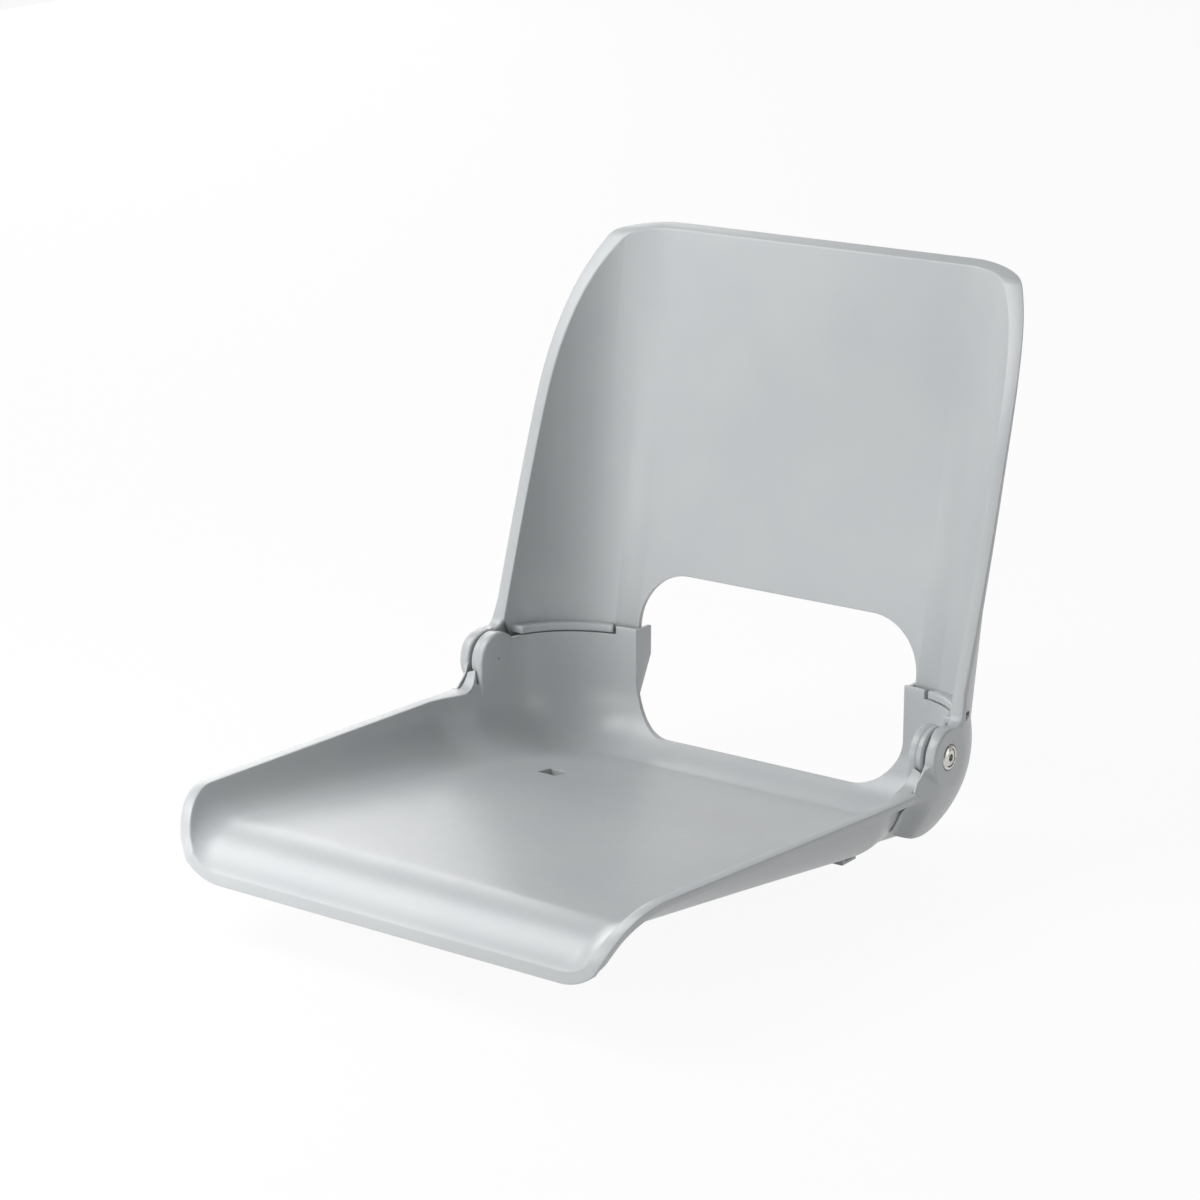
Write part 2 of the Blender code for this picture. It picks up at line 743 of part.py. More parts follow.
def backrest_shell(material, collection):
    reach = 2.0 * ear_outer
    tall = back_height + back_set_back
    sheet = reclined(slab(wing_plan(0.0, back_bead_width), -2.0 * knuckle_radius, tall, plan_axes))
    body = common(sheet, slab(back_side_view(0.0, leg_drop), -reach, reach, side_axes), "body")
    layer = reclined(slab(wing_plan(back_wall, 2.0 * back_bead_width), -3.0 * knuckle_radius,
                          tall + back_bead_width, plan_axes))
    inside = slab(back_side_view(back_bead_depth, 2.0 * knuckle_radius), -1.1 * reach, 1.1 * reach,
                  side_axes)
    back = make("backrest_shell", body, material, collection)
    combine(back, common(layer, inside, "layer"), "DIFFERENCE")
    window = rounded([(-back_window_half_width, -2.0 * knuckle_radius),
                      (back_window_half_width, -2.0 * knuckle_radius),
                      (back_window_half_width, back_window_height),
                      (-back_window_half_width, back_window_height)],
                     [0.0, 0.0, back_window_corner, back_window_corner])
    combine(back, slab(window, -2.0 * back_set_back, -back_set_back / 2.0, front_axes), "DIFFERENCE")
    boss_room = ear_inner + touch_gap
    combine(back, rod(hinge_boss_radius + knuckle_gap, -boss_room, boss_room, "X"), "DIFFERENCE")
    combine_both(back, tongue_body(), "UNION")
    combine_both(back, knuckle_body(), "UNION")
    combine_both(back, rod(ear_radius, ear_inner, ear_outer, "X"), "UNION")
    combine_both(back, neck_body(), "UNION")
    bore = screw_radius + bush_wall + 2.0 * touch_gap
    combine_both(back, rod(bore, ear_inner - bead_width, ear_outer + bead_width, "X"), "DIFFERENCE")
    recess = rod(cup_radius + touch_gap, ear_outer - cup_recess, ear_outer + bead_width, "X")
    combine_both(back, recess, "DIFFERENCE")
    finish(back, math.radians(40.0))
    back.location = hinge_point
    return back


def tongue_body():
    """Shelf on a backrest leg that rests in the notch of the upright."""
    first = tongue_first
    last = notch_last - tongue_end_gap
    centre_x = wing_half_width - wing_radius
    centre_y = leg_back - wing_radius
    outer = wing_radius + back_wall / 2.0
    turns = [blend(first, last, step / wing_segments) for step in range(wing_segments + 1)]
    near = [(corner_x + upright_corner * math.cos(t), corner_y + upright_corner * math.sin(t))
            for t in turns]
    far = [(centre_x + outer * math.cos(t), centre_y + outer * math.sin(t)) for t in turns]
    level = upright_rise - notch_depth + tongue_seat_gap
    body = slab(near + list(reversed(far)), level, upright_rise, plan_axes)
    lean = Matrix.Rotation(-math.atan(upright_top_slope), 4, "X")
    bmesh.ops.transform(body, matrix=lean, verts=body.verts)
    return body


def neck_body():
    """Hollow-rounded web between the wing's front edge and the ear."""
    turn = math.pi / 2.0 - wing_edge_lean
    along = Vector((math.cos(turn), math.sin(turn)))
    ahead = Vector((-math.sin(turn), math.cos(turn)))
    foot = ahead * (neck_round - wing_edge_offset - touch_gap)
    reach = ear_radius + neck_round
    centre = foot + along * math.sqrt(reach ** 2 - foot.length_squared)
    first = -centre * neck_round / reach
    sweep = first.angle(-ahead)
    points = []
    for step in range(outline_segments + 1):
        points.append(centre + Matrix.Rotation(sweep * step / outline_segments, 2) @ first)
    inside = -ahead * (wing_edge_offset + back_bead_depth - touch_gap)
    points += [inside + along * points[-1].dot(along), inside]
    return slab(points, ear_inner + 2.0 * touch_gap, ear_inner + neck_thickness, side_axes)


def knuckle_body():
    """Domed round heel under an ear, concentric with the hinge."""
    inner = ear_inner - knuckle_overlap
    room = hinge_boss_radius + 1.5 * knuckle_gap
    start = ear_radius - 2.0 * knuckle_gap

    def dome_face(radius):
        share = max(0.0, (radius - start) / (knuckle_radius - start))
        return ear_outer - touch_gap - knuckle_dome * share ** 1.8

    steps = 8
    profile = [(room, ear_inner + 3.0 * touch_gap)]
    for step in range(steps + 1):
        radius = blend(room, knuckle_radius, step / steps)
        profile.append((radius, min(inner, dome_face(radius) - knuckle_wall)))
    for step in range(steps + 1):
        radius = blend(knuckle_radius, start, step / steps)
        profile.append((radius, dome_face(radius)))
    profile.append((start, ear_inner + 3.0 * touch_gap))
    dome = lathe(profile)
    facet_turn = Matrix.Rotation(math.pi / round_segments * 0.6, 3, "X")
    bmesh.ops.rotate(dome, matrix=facet_turn, verts=dome.verts)
    keep = slab(knuckle_outline(ear_radius - knuckle_gap, 0.0), upright_half_width - bead_width,
                ear_outer + bead_width, side_axes)
    return common(dome, keep, "dome")


def hinge_set(side, collection, materials):
    """Screw, cup washer, bush, friction washer and insert of one hinge."""
    name = "left" if side < 0.0 else "right"

    def place(label, mesh, material):
        if side < 0.0:
            twin = mirrored(mesh)
            mesh.free()
            mesh = twin
        item = make("hinge_%s_%s" % (label, name), mesh, material, collection)
        item.location = hinge_point
        item.data.shade_smooth()
        item.data.set_sharp_from_angle(angle=math.radians(35.0))
        return item

    insert_out = hinge_boss_face - touch_gap
    insert_in = hinge_boss_face - hinge_insert_length
    insert_radius = screw_radius + touch_gap
    insert = lathe([(insert_radius, insert_in), (insert_radius, insert_out),
                    (insert_radius + insert_wall, insert_out),
                    (insert_radius + insert_wall, insert_in)], 24)
    place("insert", insert, materials["brass"])
    washer_in = hinge_boss_face + touch_gap
    washer_out = washer_in + hinge_washer_thickness
    washer_hole = screw_radius + touch_gap
    washer = lathe([(washer_hole, washer_in), (washer_hole, washer_out),
                    (hinge_washer_radius, washer_out), (hinge_washer_radius, washer_in)], 32)
    place("washer", washer, materials["washer"])
    cup_in = ear_outer - cup_recess + touch_gap
    cup_out = ear_outer + cup_crown
    bush_hole = screw_radius + touch_gap
    bush_in = ear_inner + touch_gap
    bush_out = cup_in - touch_gap
    bush = lathe([(bush_hole, bush_in), (bush_hole, bush_out),
                  (bush_hole + bush_wall, bush_out), (bush_hole + bush_wall, bush_in)], 24)
    place("bush", bush, materials["bush"])
    seat_radius = screw_head_radius + touch_gap
    cup_hole = screw_radius + touch_gap
    cone_out = cup_in + screw_head_cone
    cup = lathe([(cup_hole, cup_in), (seat_radius, cone_out), (seat_radius, cup_out),
                 (seat_radius + 0.35 * (cup_radius - seat_radius), cup_out),
                 (cup_radius, ear_outer), (cup_radius, cup_in)], 36)
    place("cup_washer", cup, materials["steel"])
    head_start = cup_in + touch_gap
    head_out = head_start + screw_head_cone
    crown = head_out + screw_head_rim
    tip = insert_in + touch_gap
    shank = lathe([(0.0, tip), (screw_radius - touch_gap, tip), (screw_radius, tip + touch_gap),
                   (screw_radius, head_start), (screw_head_radius, head_out),
                   (screw_head_radius, crown), (0.0, crown)], 32)
    screw = place("screw", shank, materials["steel"])
    socket_radius = socket_across_flats / math.sqrt(3.0)
    key = rod(socket_radius, crown - socket_depth, crown + bead_depth, "X", 6)
    if side < 0.0:
        twin = mirrored(key)
        key.free()
        key = twin
    combine(screw, moved(key, y=hinge_set_back, z=hinge_height), "DIFFERENCE")
    finish(screw, math.radians(35.0))


def base_inserts(collection, material):
    half = pedestal_pitch / 2.0
    for row, y in (("front", -half), ("rear", half)):
        for name, x in (("left", -half), ("right", half)):
            hole = base_screw_radius + touch_gap
            sleeve = lathe([(hole, touch_gap), (hole, base_insert_length),
                            (hole + insert_wall, base_insert_length),
                            (hole + insert_wall, touch_gap)], 24)
            bmesh.ops.transform(sleeve, matrix=side_axes.inverted(), verts=sleeve.verts)
            item = make("base_insert_%s_%s" % (row, name), sleeve, material, collection)
            item.location = (x, y, 0.0)
            item.data.shade_smooth()
            item.data.set_sharp_from_angle(angle=math.radians(35.0))


def main():
    for item in list(bpy.data.objects):
        bpy.data.objects.remove(item)
    parts = bpy.data.collections.new("folding_boat_seat")
    bpy.context.scene.collection.children.link(parts)
    seat_grey = plastic("seat_grey_plastic", (0.46, 0.475, 0.48, 1.0), 0.45)
    back_grey = plastic("backrest_grey_plastic", (0.46, 0.475, 0.48, 1.0), 0.45)
    materials = {
        "steel": plastic("stainless_steel", (0.62, 0.61, 0.58, 1.0), 0.25, 1.0),
        "brass": plastic("insert_brass", (0.66, 0.50, 0.24, 1.0), 0.35, 1.0),
        "washer": plastic("washer_nylon", (0.70, 0.70, 0.68, 1.0), 0.5),
        "bush": plastic("bush_nylon", (0.12, 0.12, 0.12, 1.0), 0.5),
    }
    seat_shell(seat_grey, parts)
    backrest_shell(back_grey, parts)
    for side in (-1.0, 1.0):
        hinge_set(side, parts, materials)
    base_inserts(parts, materials["brass"])
    for material in list(bpy.data.materials):
        if material.users == 0:
            bpy.data.materials.remove(material)


main()
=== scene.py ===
# %% [markdown]
# # A folding boat seat, dressed for its portrait
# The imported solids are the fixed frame. This notebook gives them their looks: a moulded seat
# shell, a moulded backrest, turned hinge fittings, a pale studio and the camera. The frame also
# carries the hinge and the weight, so its solids stay as they are, and a finer piece rides on the
# same body in the place of a solid.

# %% Load the frame
import json
import math

import bmesh
import bpy
from mathutils import Matrix, Vector


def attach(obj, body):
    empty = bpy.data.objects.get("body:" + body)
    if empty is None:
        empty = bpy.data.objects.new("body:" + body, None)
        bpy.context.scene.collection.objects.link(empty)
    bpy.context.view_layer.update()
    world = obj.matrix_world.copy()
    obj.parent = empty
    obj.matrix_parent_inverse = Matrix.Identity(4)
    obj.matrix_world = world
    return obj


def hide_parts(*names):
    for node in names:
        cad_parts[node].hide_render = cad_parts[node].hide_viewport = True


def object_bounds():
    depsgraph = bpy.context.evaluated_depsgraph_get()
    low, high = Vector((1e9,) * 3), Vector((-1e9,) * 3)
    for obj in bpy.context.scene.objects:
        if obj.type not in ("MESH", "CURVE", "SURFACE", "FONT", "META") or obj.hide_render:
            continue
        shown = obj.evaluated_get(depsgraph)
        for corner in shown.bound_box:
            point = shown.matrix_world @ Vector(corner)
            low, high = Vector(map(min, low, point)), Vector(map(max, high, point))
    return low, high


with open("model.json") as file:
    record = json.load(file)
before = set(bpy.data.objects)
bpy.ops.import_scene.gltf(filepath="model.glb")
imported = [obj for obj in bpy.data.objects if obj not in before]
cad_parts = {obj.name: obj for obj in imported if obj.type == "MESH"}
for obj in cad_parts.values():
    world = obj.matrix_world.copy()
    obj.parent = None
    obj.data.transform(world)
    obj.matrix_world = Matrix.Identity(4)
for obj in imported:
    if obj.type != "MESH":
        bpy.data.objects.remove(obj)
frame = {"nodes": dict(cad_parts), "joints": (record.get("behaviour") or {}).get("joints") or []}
cad_low, cad_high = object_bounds()
fold = frame["joints"][0]
hinge = Vector(fold["pos_m"])
print("CAD box", tuple(cad_low), tuple(cad_high), "hinge at", tuple(hinge))

# %% [markdown]
# ## Colours and shader nodes
# Colours are written as the sRGB hex values a painter would read off a swatch. A shader works in
# linear light, so one function converts them. A second small function adds a node, sets it and
# links it, which keeps each material readable from top to bottom.

# %% Colour and node helpers
def linear(hex_value):
    """sRGB hex value as a colour in linear light."""
    channels = []
    for start in (0, 2, 4):
        share = int(hex_value[start:start + 2], 16) / 255.0
        low = share / 12.92
        high = ((share + 0.055) / 1.055) ** 2.4
        channels.append(low if share <= 0.04045 else high)
    return (*channels, 1.0)


def add_node(tree, kind, settings=None, links=None):
    """Add a shader node with its settings and the sources of its inputs."""
    node = tree.nodes.new(kind)
    for name, value in (settings or {}).items():
        if name in node.inputs:
            node.inputs[name].default_value = value
        else:
            setattr(node, name, value)
    for name, source in (links or {}).items():
        tree.links.new(source, node.inputs[name])
    return node


def new_material(name):
    material = bpy.data.materials.new(name)
    material.use_nodes = True
    tree = material.node_tree
    return material, tree, tree.nodes["Principled BSDF"]


print("light grey swatch in linear light", linear("B4B6B7"))

# %% [markdown]
# ## The studio
# The photograph shows the seat on plain white, as on a roll of paper that lies on the floor and
# curves up behind. A floor and a wall would do, but their corner would show as a line. So a bent
# profile is rounded at its two corners and pulled sideways, which leaves no line to see.

# %% Paper sweep
CAMERA_ROUND = math.radians(36.0)
SWEEP_PROFILE = ((-6.0, 0.0), (2.2, 0.0), (3.6, 1.4), (3.6, 6.0))
SWEEP_ROUND = 1.0
SWEEP_WIDTH = 12.0

sweep_mesh = bmesh.new()
profile = [sweep_mesh.verts.new((0.0, y, z)) for y, z in SWEEP_PROFILE]
for pair in zip(profile, profile[1:]):
    sweep_mesh.edges.new(pair)
bmesh.ops.bevel(sweep_mesh, geom=profile[1:3], offset=SWEEP_ROUND, segments=12, profile=0.5,
                affect="VERTICES", material=-1)
swept = bmesh.ops.extrude_edge_only(sweep_mesh, edges=sweep_mesh.edges[:])
moved = [item for item in swept["geom"] if isinstance(item, bmesh.types.BMVert)]
bmesh.ops.translate(sweep_mesh, vec=(SWEEP_WIDTH, 0.0, 0.0), verts=moved)
bmesh.ops.translate(sweep_mesh, vec=(-SWEEP_WIDTH / 2.0, 0.0, 0.0), verts=sweep_mesh.verts)
bmesh.ops.rotate(sweep_mesh, matrix=Matrix.Rotation(CAMERA_ROUND, 3, "Z"), verts=sweep_mesh.verts)
bmesh.ops.recalc_face_normals(sweep_mesh, faces=sweep_mesh.faces)
sweep_data = bpy.data.meshes.new("studio_sweep")
sweep_mesh.to_mesh(sweep_data)
sweep_mesh.free()
sweep_data.shade_smooth()
sweep = bpy.data.objects.new("studio_sweep", sweep_data)
bpy.context.scene.collection.objects.link(sweep)
print("studio sweep", len(sweep_data.polygons), "faces")

# %% [markdown]
# ## White paper
# Studio paper is matt and nearly white. Lit by the lamps alone it would not come out even, and more
# light on it would wash out the seat. So its own shader takes the light and the shadow, and is
# mixed with an even white for rays that come from the camera, or by way of something shiny or
# clear. The light path node tells these rays apart.

# %% White paper
WHITE_SHARE = 0.93
# Matt paper: no shine, only a soft shadow under the seat.
paper, tree, shader = new_material("white_paper_sweep")
shader.inputs["Base Color"].default_value = linear("F2F2F1")
shader.inputs["Roughness"].default_value = 0.9
shader.inputs["Specular IOR Level"].default_value = 0.1
path = add_node(tree, "ShaderNodeLightPath")
seen = add_node(tree, "ShaderNodeMath", {"operation": "MAXIMUM"},
                {0: path.outputs["Is Camera Ray"], 1: path.outputs["Is Glossy Ray"]})
seen_all = add_node(tree, "ShaderNodeMath", {"operation": "MAXIMUM"},
                    {0: seen.outputs[0], 1: path.outputs["Is Transmission Ray"]})
white = add_node(tree, "ShaderNodeMath", {"operation": "MULTIPLY"}, {0: seen_all.outputs[0]})
white.inputs[1].default_value = WHITE_SHARE
glow = add_node(tree, "ShaderNodeEmission", {"Color": linear("FFFFFF"), "Strength": 1.0})
mix = add_node(tree, "ShaderNodeMixShader", None,
               {0: white.outputs[0], 1: shader.outputs[0], 2: glow.outputs[0]})
tree.links.new(mix.outputs[0], tree.nodes["Material Output"].inputs["Surface"])
sweep_data.materials.append(paper)
print("white paper with", len(tree.nodes), "nodes")

# %% [markdown]
# ## Light
# The faces turned to the right are the dark ones in the photograph, so the main light hangs above
# the seat, on its left and in front. A small lamp low on the left and a wide one in front on the
# right lift the shade, one on the right draws the ear and the skirt, and one behind on the left
# edges the wings. Point lamps would cast hard shadows; wide discs give the soft ones of a studio.

# %% Lamps and world
LAMPS = (
    # name, place in m, size in m, power in W
    ("key_above_left", (-0.8, -0.65, 1.35), 1.1, 19.5),
    ("fill_low_left", (-0.35, -0.78, 0.16), 0.5, 2.4),
    ("fill_front_right", (0.6, -2.6, 0.9), 1.6, 14.0),
    ("side_right", (2.0, 0.8, 0.6), 1.2, 9.0),
    ("rim_behind_left", (-1.9, 1.3, 1.0), 1.6, 16.0),
)
middle = (cad_low + cad_high) / 2.0
for name, place, size, power in LAMPS:
    lamp = bpy.data.lights.new(name, "AREA")
    lamp.shape = "DISK"
    lamp.size = size
    lamp.energy = power
    item = bpy.data.objects.new(name, lamp)
    item.location = place
    item.rotation_euler = (middle - Vector(place)).to_track_quat("-Z", "Y").to_euler()
    bpy.context.scene.collection.objects.link(item)

world = bpy.data.worlds.new("studio_air")
world.use_nodes = True
air = world.node_tree.nodes["Background"]
air.inputs["Color"].default_value = linear("F4F6F8")
air.inputs["Strength"].default_value = 0.2
bpy.context.scene.world = world
bpy.context.scene.view_settings.view_transform = "Standard"
print(len(LAMPS), "soft lamps turned to", tuple(middle))

# %% [markdown]
# ## Camera
# The camera was found by matching mirrored points of the seat: 36 degrees round to the right, 16.2
# degrees down, on a long lens. The matching gives the focal length in pixels of the picture, and
# the width of the sensor turns that into millimetres.

# %% Camera
LENS_PIXELS = 3331.0
IMAGE_PIXELS = 1200.0
CAMERA_DOWN = math.radians(16.2)

camera_data = bpy.data.cameras.new("portrait_camera")
camera_data.sensor_width = 36.0
camera_data.lens = LENS_PIXELS / IMAGE_PIXELS * camera_data.sensor_width
camera = bpy.data.objects.new("portrait_camera", camera_data)
camera.location = (1.268, -1.798, 0.830)
camera.rotation_euler = (math.pi / 2.0 - CAMERA_DOWN, 0.0, CAMERA_ROUND)
bpy.context.scene.collection.objects.link(camera)
bpy.context.scene.camera = camera
print("lens", round(camera_data.lens, 2), "mm")

# %% [markdown]
# ## Moulded polypropylene
# Seat and backrest are injection moulded in light grey polypropylene. The colour is in the melt, so
# it stays even, with a faint marbling where the melt flowed. The mould is spark-eroded, which gives
# a satin grain of about 0.3 mm; it is drawn at 1 mm here because a finer one would not show. A
# stretched noise stands for the hairline rubs that a sitter leaves from front to back. The bevel
# node finds the edges, where handling polishes the plastic a little paler, and rounds their light.

# %% Moulded plastic
MARBLING = 0.06
RUB_WIDTH, RUB_LENGTH = 0.0012, 0.05
GRAIN = 0.001
# Satin, even grey: wide soft highlights, and edges a shade paler than the faces.
grey, tree, shader = new_material("moulded_polypropylene_grey")
spot = add_node(tree, "ShaderNodeTexCoord").outputs["Object"]
edge_normal = add_node(tree, "ShaderNodeBevel", {"samples": 6, "Radius": 0.0009})
surface = add_node(tree, "ShaderNodeNewGeometry")
turn = add_node(tree, "ShaderNodeVectorMath", {"operation": "DOT_PRODUCT"},
                {0: edge_normal.outputs[0], 1: surface.outputs["Normal"]})
edge = add_node(tree, "ShaderNodeMapRange",
                {"From Min": 0.99, "From Max": 0.8, "To Min": 0.0, "To Max": 0.4},
                {"Value": turn.outputs["Value"]})
flow = add_node(tree, "ShaderNodeTexNoise", {"Scale": 1.0 / MARBLING, "Detail": 3.0},
                {"Vector": spot})
marbling = add_node(tree, "ShaderNodeValToRGB", None, {"Fac": flow.outputs["Fac"]})
for stop, place, tone in zip(marbling.color_ramp.elements, (0.3, 0.7), ("B2B5B7", "B6B9BA")):
    stop.position = place
    stop.color = linear(tone)
polish = add_node(tree, "ShaderNodeMixRGB", {"Color2": linear("C8CBCC")},
                  {"Fac": edge.outputs[0], "Color1": marbling.outputs["Color"]})
tree.links.new(polish.outputs["Color"], shader.inputs["Base Color"])
rub_way = add_node(tree, "ShaderNodeMapping",
                   {"Scale": (1.0 / RUB_WIDTH, 1.0 / RUB_LENGTH, 1.0 / RUB_WIDTH)},
                   {"Vector": spot})
rubs = add_node(tree, "ShaderNodeTexNoise", {"Scale": 1.0, "Detail": 4.0},
                {"Vector": rub_way.outputs[0]})
satin = add_node(tree, "ShaderNodeMapRange",
                 {"From Min": 0.3, "From Max": 0.75, "To Min": 0.31, "To Max": 0.41},
                 {"Value": rubs.outputs["Fac"]})
tree.links.new(satin.outputs[0], shader.inputs["Roughness"])
grain = add_node(tree, "ShaderNodeTexNoise", {"Scale": 1.0 / GRAIN, "Detail": 2.0},
                 {"Vector": spot})
relief = add_node(tree, "ShaderNodeBump", {"Strength": 0.3, "Distance": 0.00006},
                  {"Height": grain.outputs["Fac"], "Normal": edge_normal.outputs[0]})
tree.links.new(relief.outputs[0], shader.inputs["Normal"])
shader.inputs["IOR"].default_value = 1.49
for name in ("seat_shell", "backrest_shell"):
    frame["nodes"][name].data.materials[0] = grey
print("moulded plastic with", len(tree.nodes), "nodes")

# %% [markdown]
# ## Turned steel and brass
# The screws and cup washers are turned stainless steel: bright, slightly warm, with fine rings from
# the lathe. The threaded inserts are turned brass that has dulled in patches. Both come from one
# recipe: a ring wave about the hinge axis for the lathe, and a noise for the patches. Real rings
# lie about 0.1 mm apart and are drawn at 0.5 mm so that they show.

# %% Turned metals
RING_GAP = 0.0005
PATCH = 0.004


def turned_metal(name, bright, dull, smooth, rough, centre):
    """Metal with lathe rings about the x axis through a centre, and dull patches."""
    metal, tree, shader = new_material(name)
    spot = add_node(tree, "ShaderNodeTexCoord").outputs["Object"]
    about = add_node(tree, "ShaderNodeMapping", {"Location": -centre}, {"Vector": spot})
    rings = add_node(tree, "ShaderNodeTexWave",
                     {"wave_type": "RINGS", "rings_direction": "X",
                      "Scale": math.pi / 10.0 / RING_GAP, "Distortion": 1.5},
                     {"Vector": about.outputs[0]})
    patches = add_node(tree, "ShaderNodeTexNoise", {"Scale": 1.0 / PATCH, "Detail": 4.0},
                       {"Vector": spot})
    tone = add_node(tree, "ShaderNodeValToRGB", None, {"Fac": patches.outputs["Fac"]})
    for stop, place, colour in zip(tone.color_ramp.elements, (0.35, 0.65), (dull, bright)):
        stop.position = place
        stop.color = linear(colour)
    tree.links.new(tone.outputs["Color"], shader.inputs["Base Color"])
    sheen = add_node(tree, "ShaderNodeMapRange", {"To Min": smooth, "To Max": rough},
                     {"Value": patches.outputs["Fac"]})
    tree.links.new(sheen.outputs[0], shader.inputs["Roughness"])
    relief = add_node(tree, "ShaderNodeBump", {"Strength": 0.15, "Distance": 0.00003},
                      {"Height": rings.outputs["Fac"]})
    tree.links.new(relief.outputs[0], shader.inputs["Normal"])
    shader.inputs["Metallic"].default_value = 1.0
    return metal


# Steel mirrors the white studio; brass is duller and warmer.
steel = turned_metal("turned_stainless_steel", "D2D1CC", "B9B8B4", 0.2, 0.34, hinge)
brass = turned_metal("turned_brass", "C9A765", "A88848", 0.28, 0.5, hinge)
print("metals", steel.name, brass.name)

# %% [markdown]
# ## Moulded nylon
# Washers and bushes are moulded nylon, the washers in its natural milky colour and the bushes
# black. Nylon has a soft waxy sheen, so a faint cloud changes both tone and roughness a little. Its
# grain, about 0.2 mm on a small mould, is drawn at 0.8 mm so that it shows.

# %% Nylon, and finishes for the small fittings
CLOUD = 0.006
NYLON_GRAIN = 0.0008


def moulded_nylon(name, pale, dark):
    """Waxy plastic with a faint cloud and a fine grain."""
    nylon, tree, shader = new_material(name)
    spot = add_node(tree, "ShaderNodeTexCoord").outputs["Object"]
    cloud = add_node(tree, "ShaderNodeTexNoise", {"Scale": 1.0 / CLOUD, "Detail": 3.0},
                     {"Vector": spot})
    tone = add_node(tree, "ShaderNodeValToRGB", None, {"Fac": cloud.outputs["Fac"]})
    for stop, place, colour in zip(tone.color_ramp.elements, (0.35, 0.65), (dark, pale)):
        stop.position = place
        stop.color = linear(colour)
    tree.links.new(tone.outputs["Color"], shader.inputs["Base Color"])
    wax = add_node(tree, "ShaderNodeMapRange", {"To Min": 0.38, "To Max": 0.55},
                   {"Value": cloud.outputs["Fac"]})
    tree.links.new(wax.outputs[0], shader.inputs["Roughness"])
    grain = add_node(tree, "ShaderNodeTexNoise", {"Scale": 1.0 / NYLON_GRAIN, "Detail": 2.0},
                     {"Vector": spot})
    relief = add_node(tree, "ShaderNodeBump", {"Strength": 0.25, "Distance": 0.00005},
                      {"Height": grain.outputs["Fac"]})
    tree.links.new(relief.outputs[0], shader.inputs["Normal"])
    shader.inputs["IOR"].default_value = 1.53
    return nylon


milky = moulded_nylon("moulded_nylon_natural", "D9D7CF", "CBC9C0")
black = moulded_nylon("moulded_nylon_black", "232425", "1A1B1C")
# A cup washer has two of these words in its name; the later one, steel, holds.
finishes = {"insert": brass, "washer": milky, "bush": black, "screw": steel, "cup": steel}
for name, node in frame["nodes"].items():
    for word, finish in finishes.items():
        if word in name.split("_"):
            node.data.materials[0] = finish
print("finishes on", len(frame["nodes"]), "frame nodes")

# %% [markdown]
# ## Working in millimetres from the hinge
# Everything on this seat is laid out from the hinge axis, so the pieces below are modelled in
# millimetres about it and turned into metres at the very end. Three small rules come back
# everywhere: a blend goes straight from one value to another, an ease starts and ends softly as a
# moulded ramp does, and spaced values divide a length into steps.

# %% Blends and spacings
def blend(first, last, share):
    """A share of the way from one value to another."""
    return first + (last - first) * share


def ease(share):
    """A share that starts and ends softly."""
    share = min(1.0, max(0.0, share))
    return share * share * (3.0 - 2.0 * share)


def spaced(first, last, steps, power=1.0):
    """Values after the first one, closer together at the start for a power above 1."""
    return [blend(first, last, (n / steps) ** power) for n in range(1, steps + 1)]


print("a quarter of the way, eased:", ease(0.25))

# %% [markdown]
# ## The seat: rim and pan
# The seat is one injection moulding. Its pan slopes down to the back, curls over at the front and
# rises in a wide hollow to the side walls, and a bead runs round the free edge. It could be
# sculpted, but rules are easier to check: each row of a grid is one slice across the seat, and a
# few rules say where its points lie. The first ones give the heights of rim and pan from front
# (y = -358) to back.

# %% Heights of rim and pan
FRONT = -358.0
LIP_ROUND = 42.0
LIP_START = FRONT + LIP_ROUND
RIM_FRONT = -7.3
RIM_SLOPE = 0.040
TOP_LEVEL = 20.0
TOP_SLOPE = 0.08
RISE_START = -48.0
RISE_RUN = 40.0
PAN_ROLL = 43.4
PAN_CREST = -27.6
PAN_SLOPE = 0.128
PAN_LEAN = math.atan(PAN_SLOPE)
CREST_Y = FRONT + PAN_ROLL * math.sin(math.radians(61.8))
STRAIGHT_Y = CREST_Y + PAN_ROLL * math.sin(PAN_LEAN)
ROLL_CENTRE = PAN_CREST - PAN_ROLL


def rim_level(y):
    """Height of the free edge: curled lip, side wall, ramp and top of the upright."""
    if y <= LIP_START:
        curl = math.sqrt(max(0.0, LIP_ROUND ** 2 - (LIP_START - y) ** 2))
        return RIM_FRONT - LIP_ROUND + curl
    low = RIM_FRONT - RIM_SLOPE * (y - LIP_START)
    top = TOP_LEVEL - TOP_SLOPE * y
    return blend(low, top, ease(max(0.0, (y - RISE_START) / RISE_RUN) ** 2.4))


def rim_facing(y):
    """Direction in which the free edge faces."""
    if y <= FRONT + 0.01:
        return Vector((0.0, -1.0, 0.0))
    slope = (rim_level(y + 0.01) - rim_level(y - 0.01)) / 0.02
    return Vector((0.0, -slope, 1.0)).normalized()


def pan_level(y):
    """Height of the pan's upper face: a roll at the front, then a straight slope."""
    if y < STRAIGHT_Y:
        return ROLL_CENTRE + math.sqrt(max(0.0, PAN_ROLL ** 2 - (y - CREST_Y) ** 2))
    return ROLL_CENTRE + PAN_ROLL * math.cos(PAN_LEAN) - PAN_SLOPE * (y - STRAIGHT_Y)


def pan_below(y):
    """Direction from the pan's upper face to its lower face."""
    first = max(y - 0.01, FRONT)
    slope = (pan_level(y + 0.01) - pan_level(first)) / (y + 0.01 - first)
    return Vector((0.0, slope, -1.0)).normalized()


print("rim above the lip", round(rim_level(LIP_START), 1), "mm, pan at the hinge",
      round(pan_level(0.0), 1), "mm")

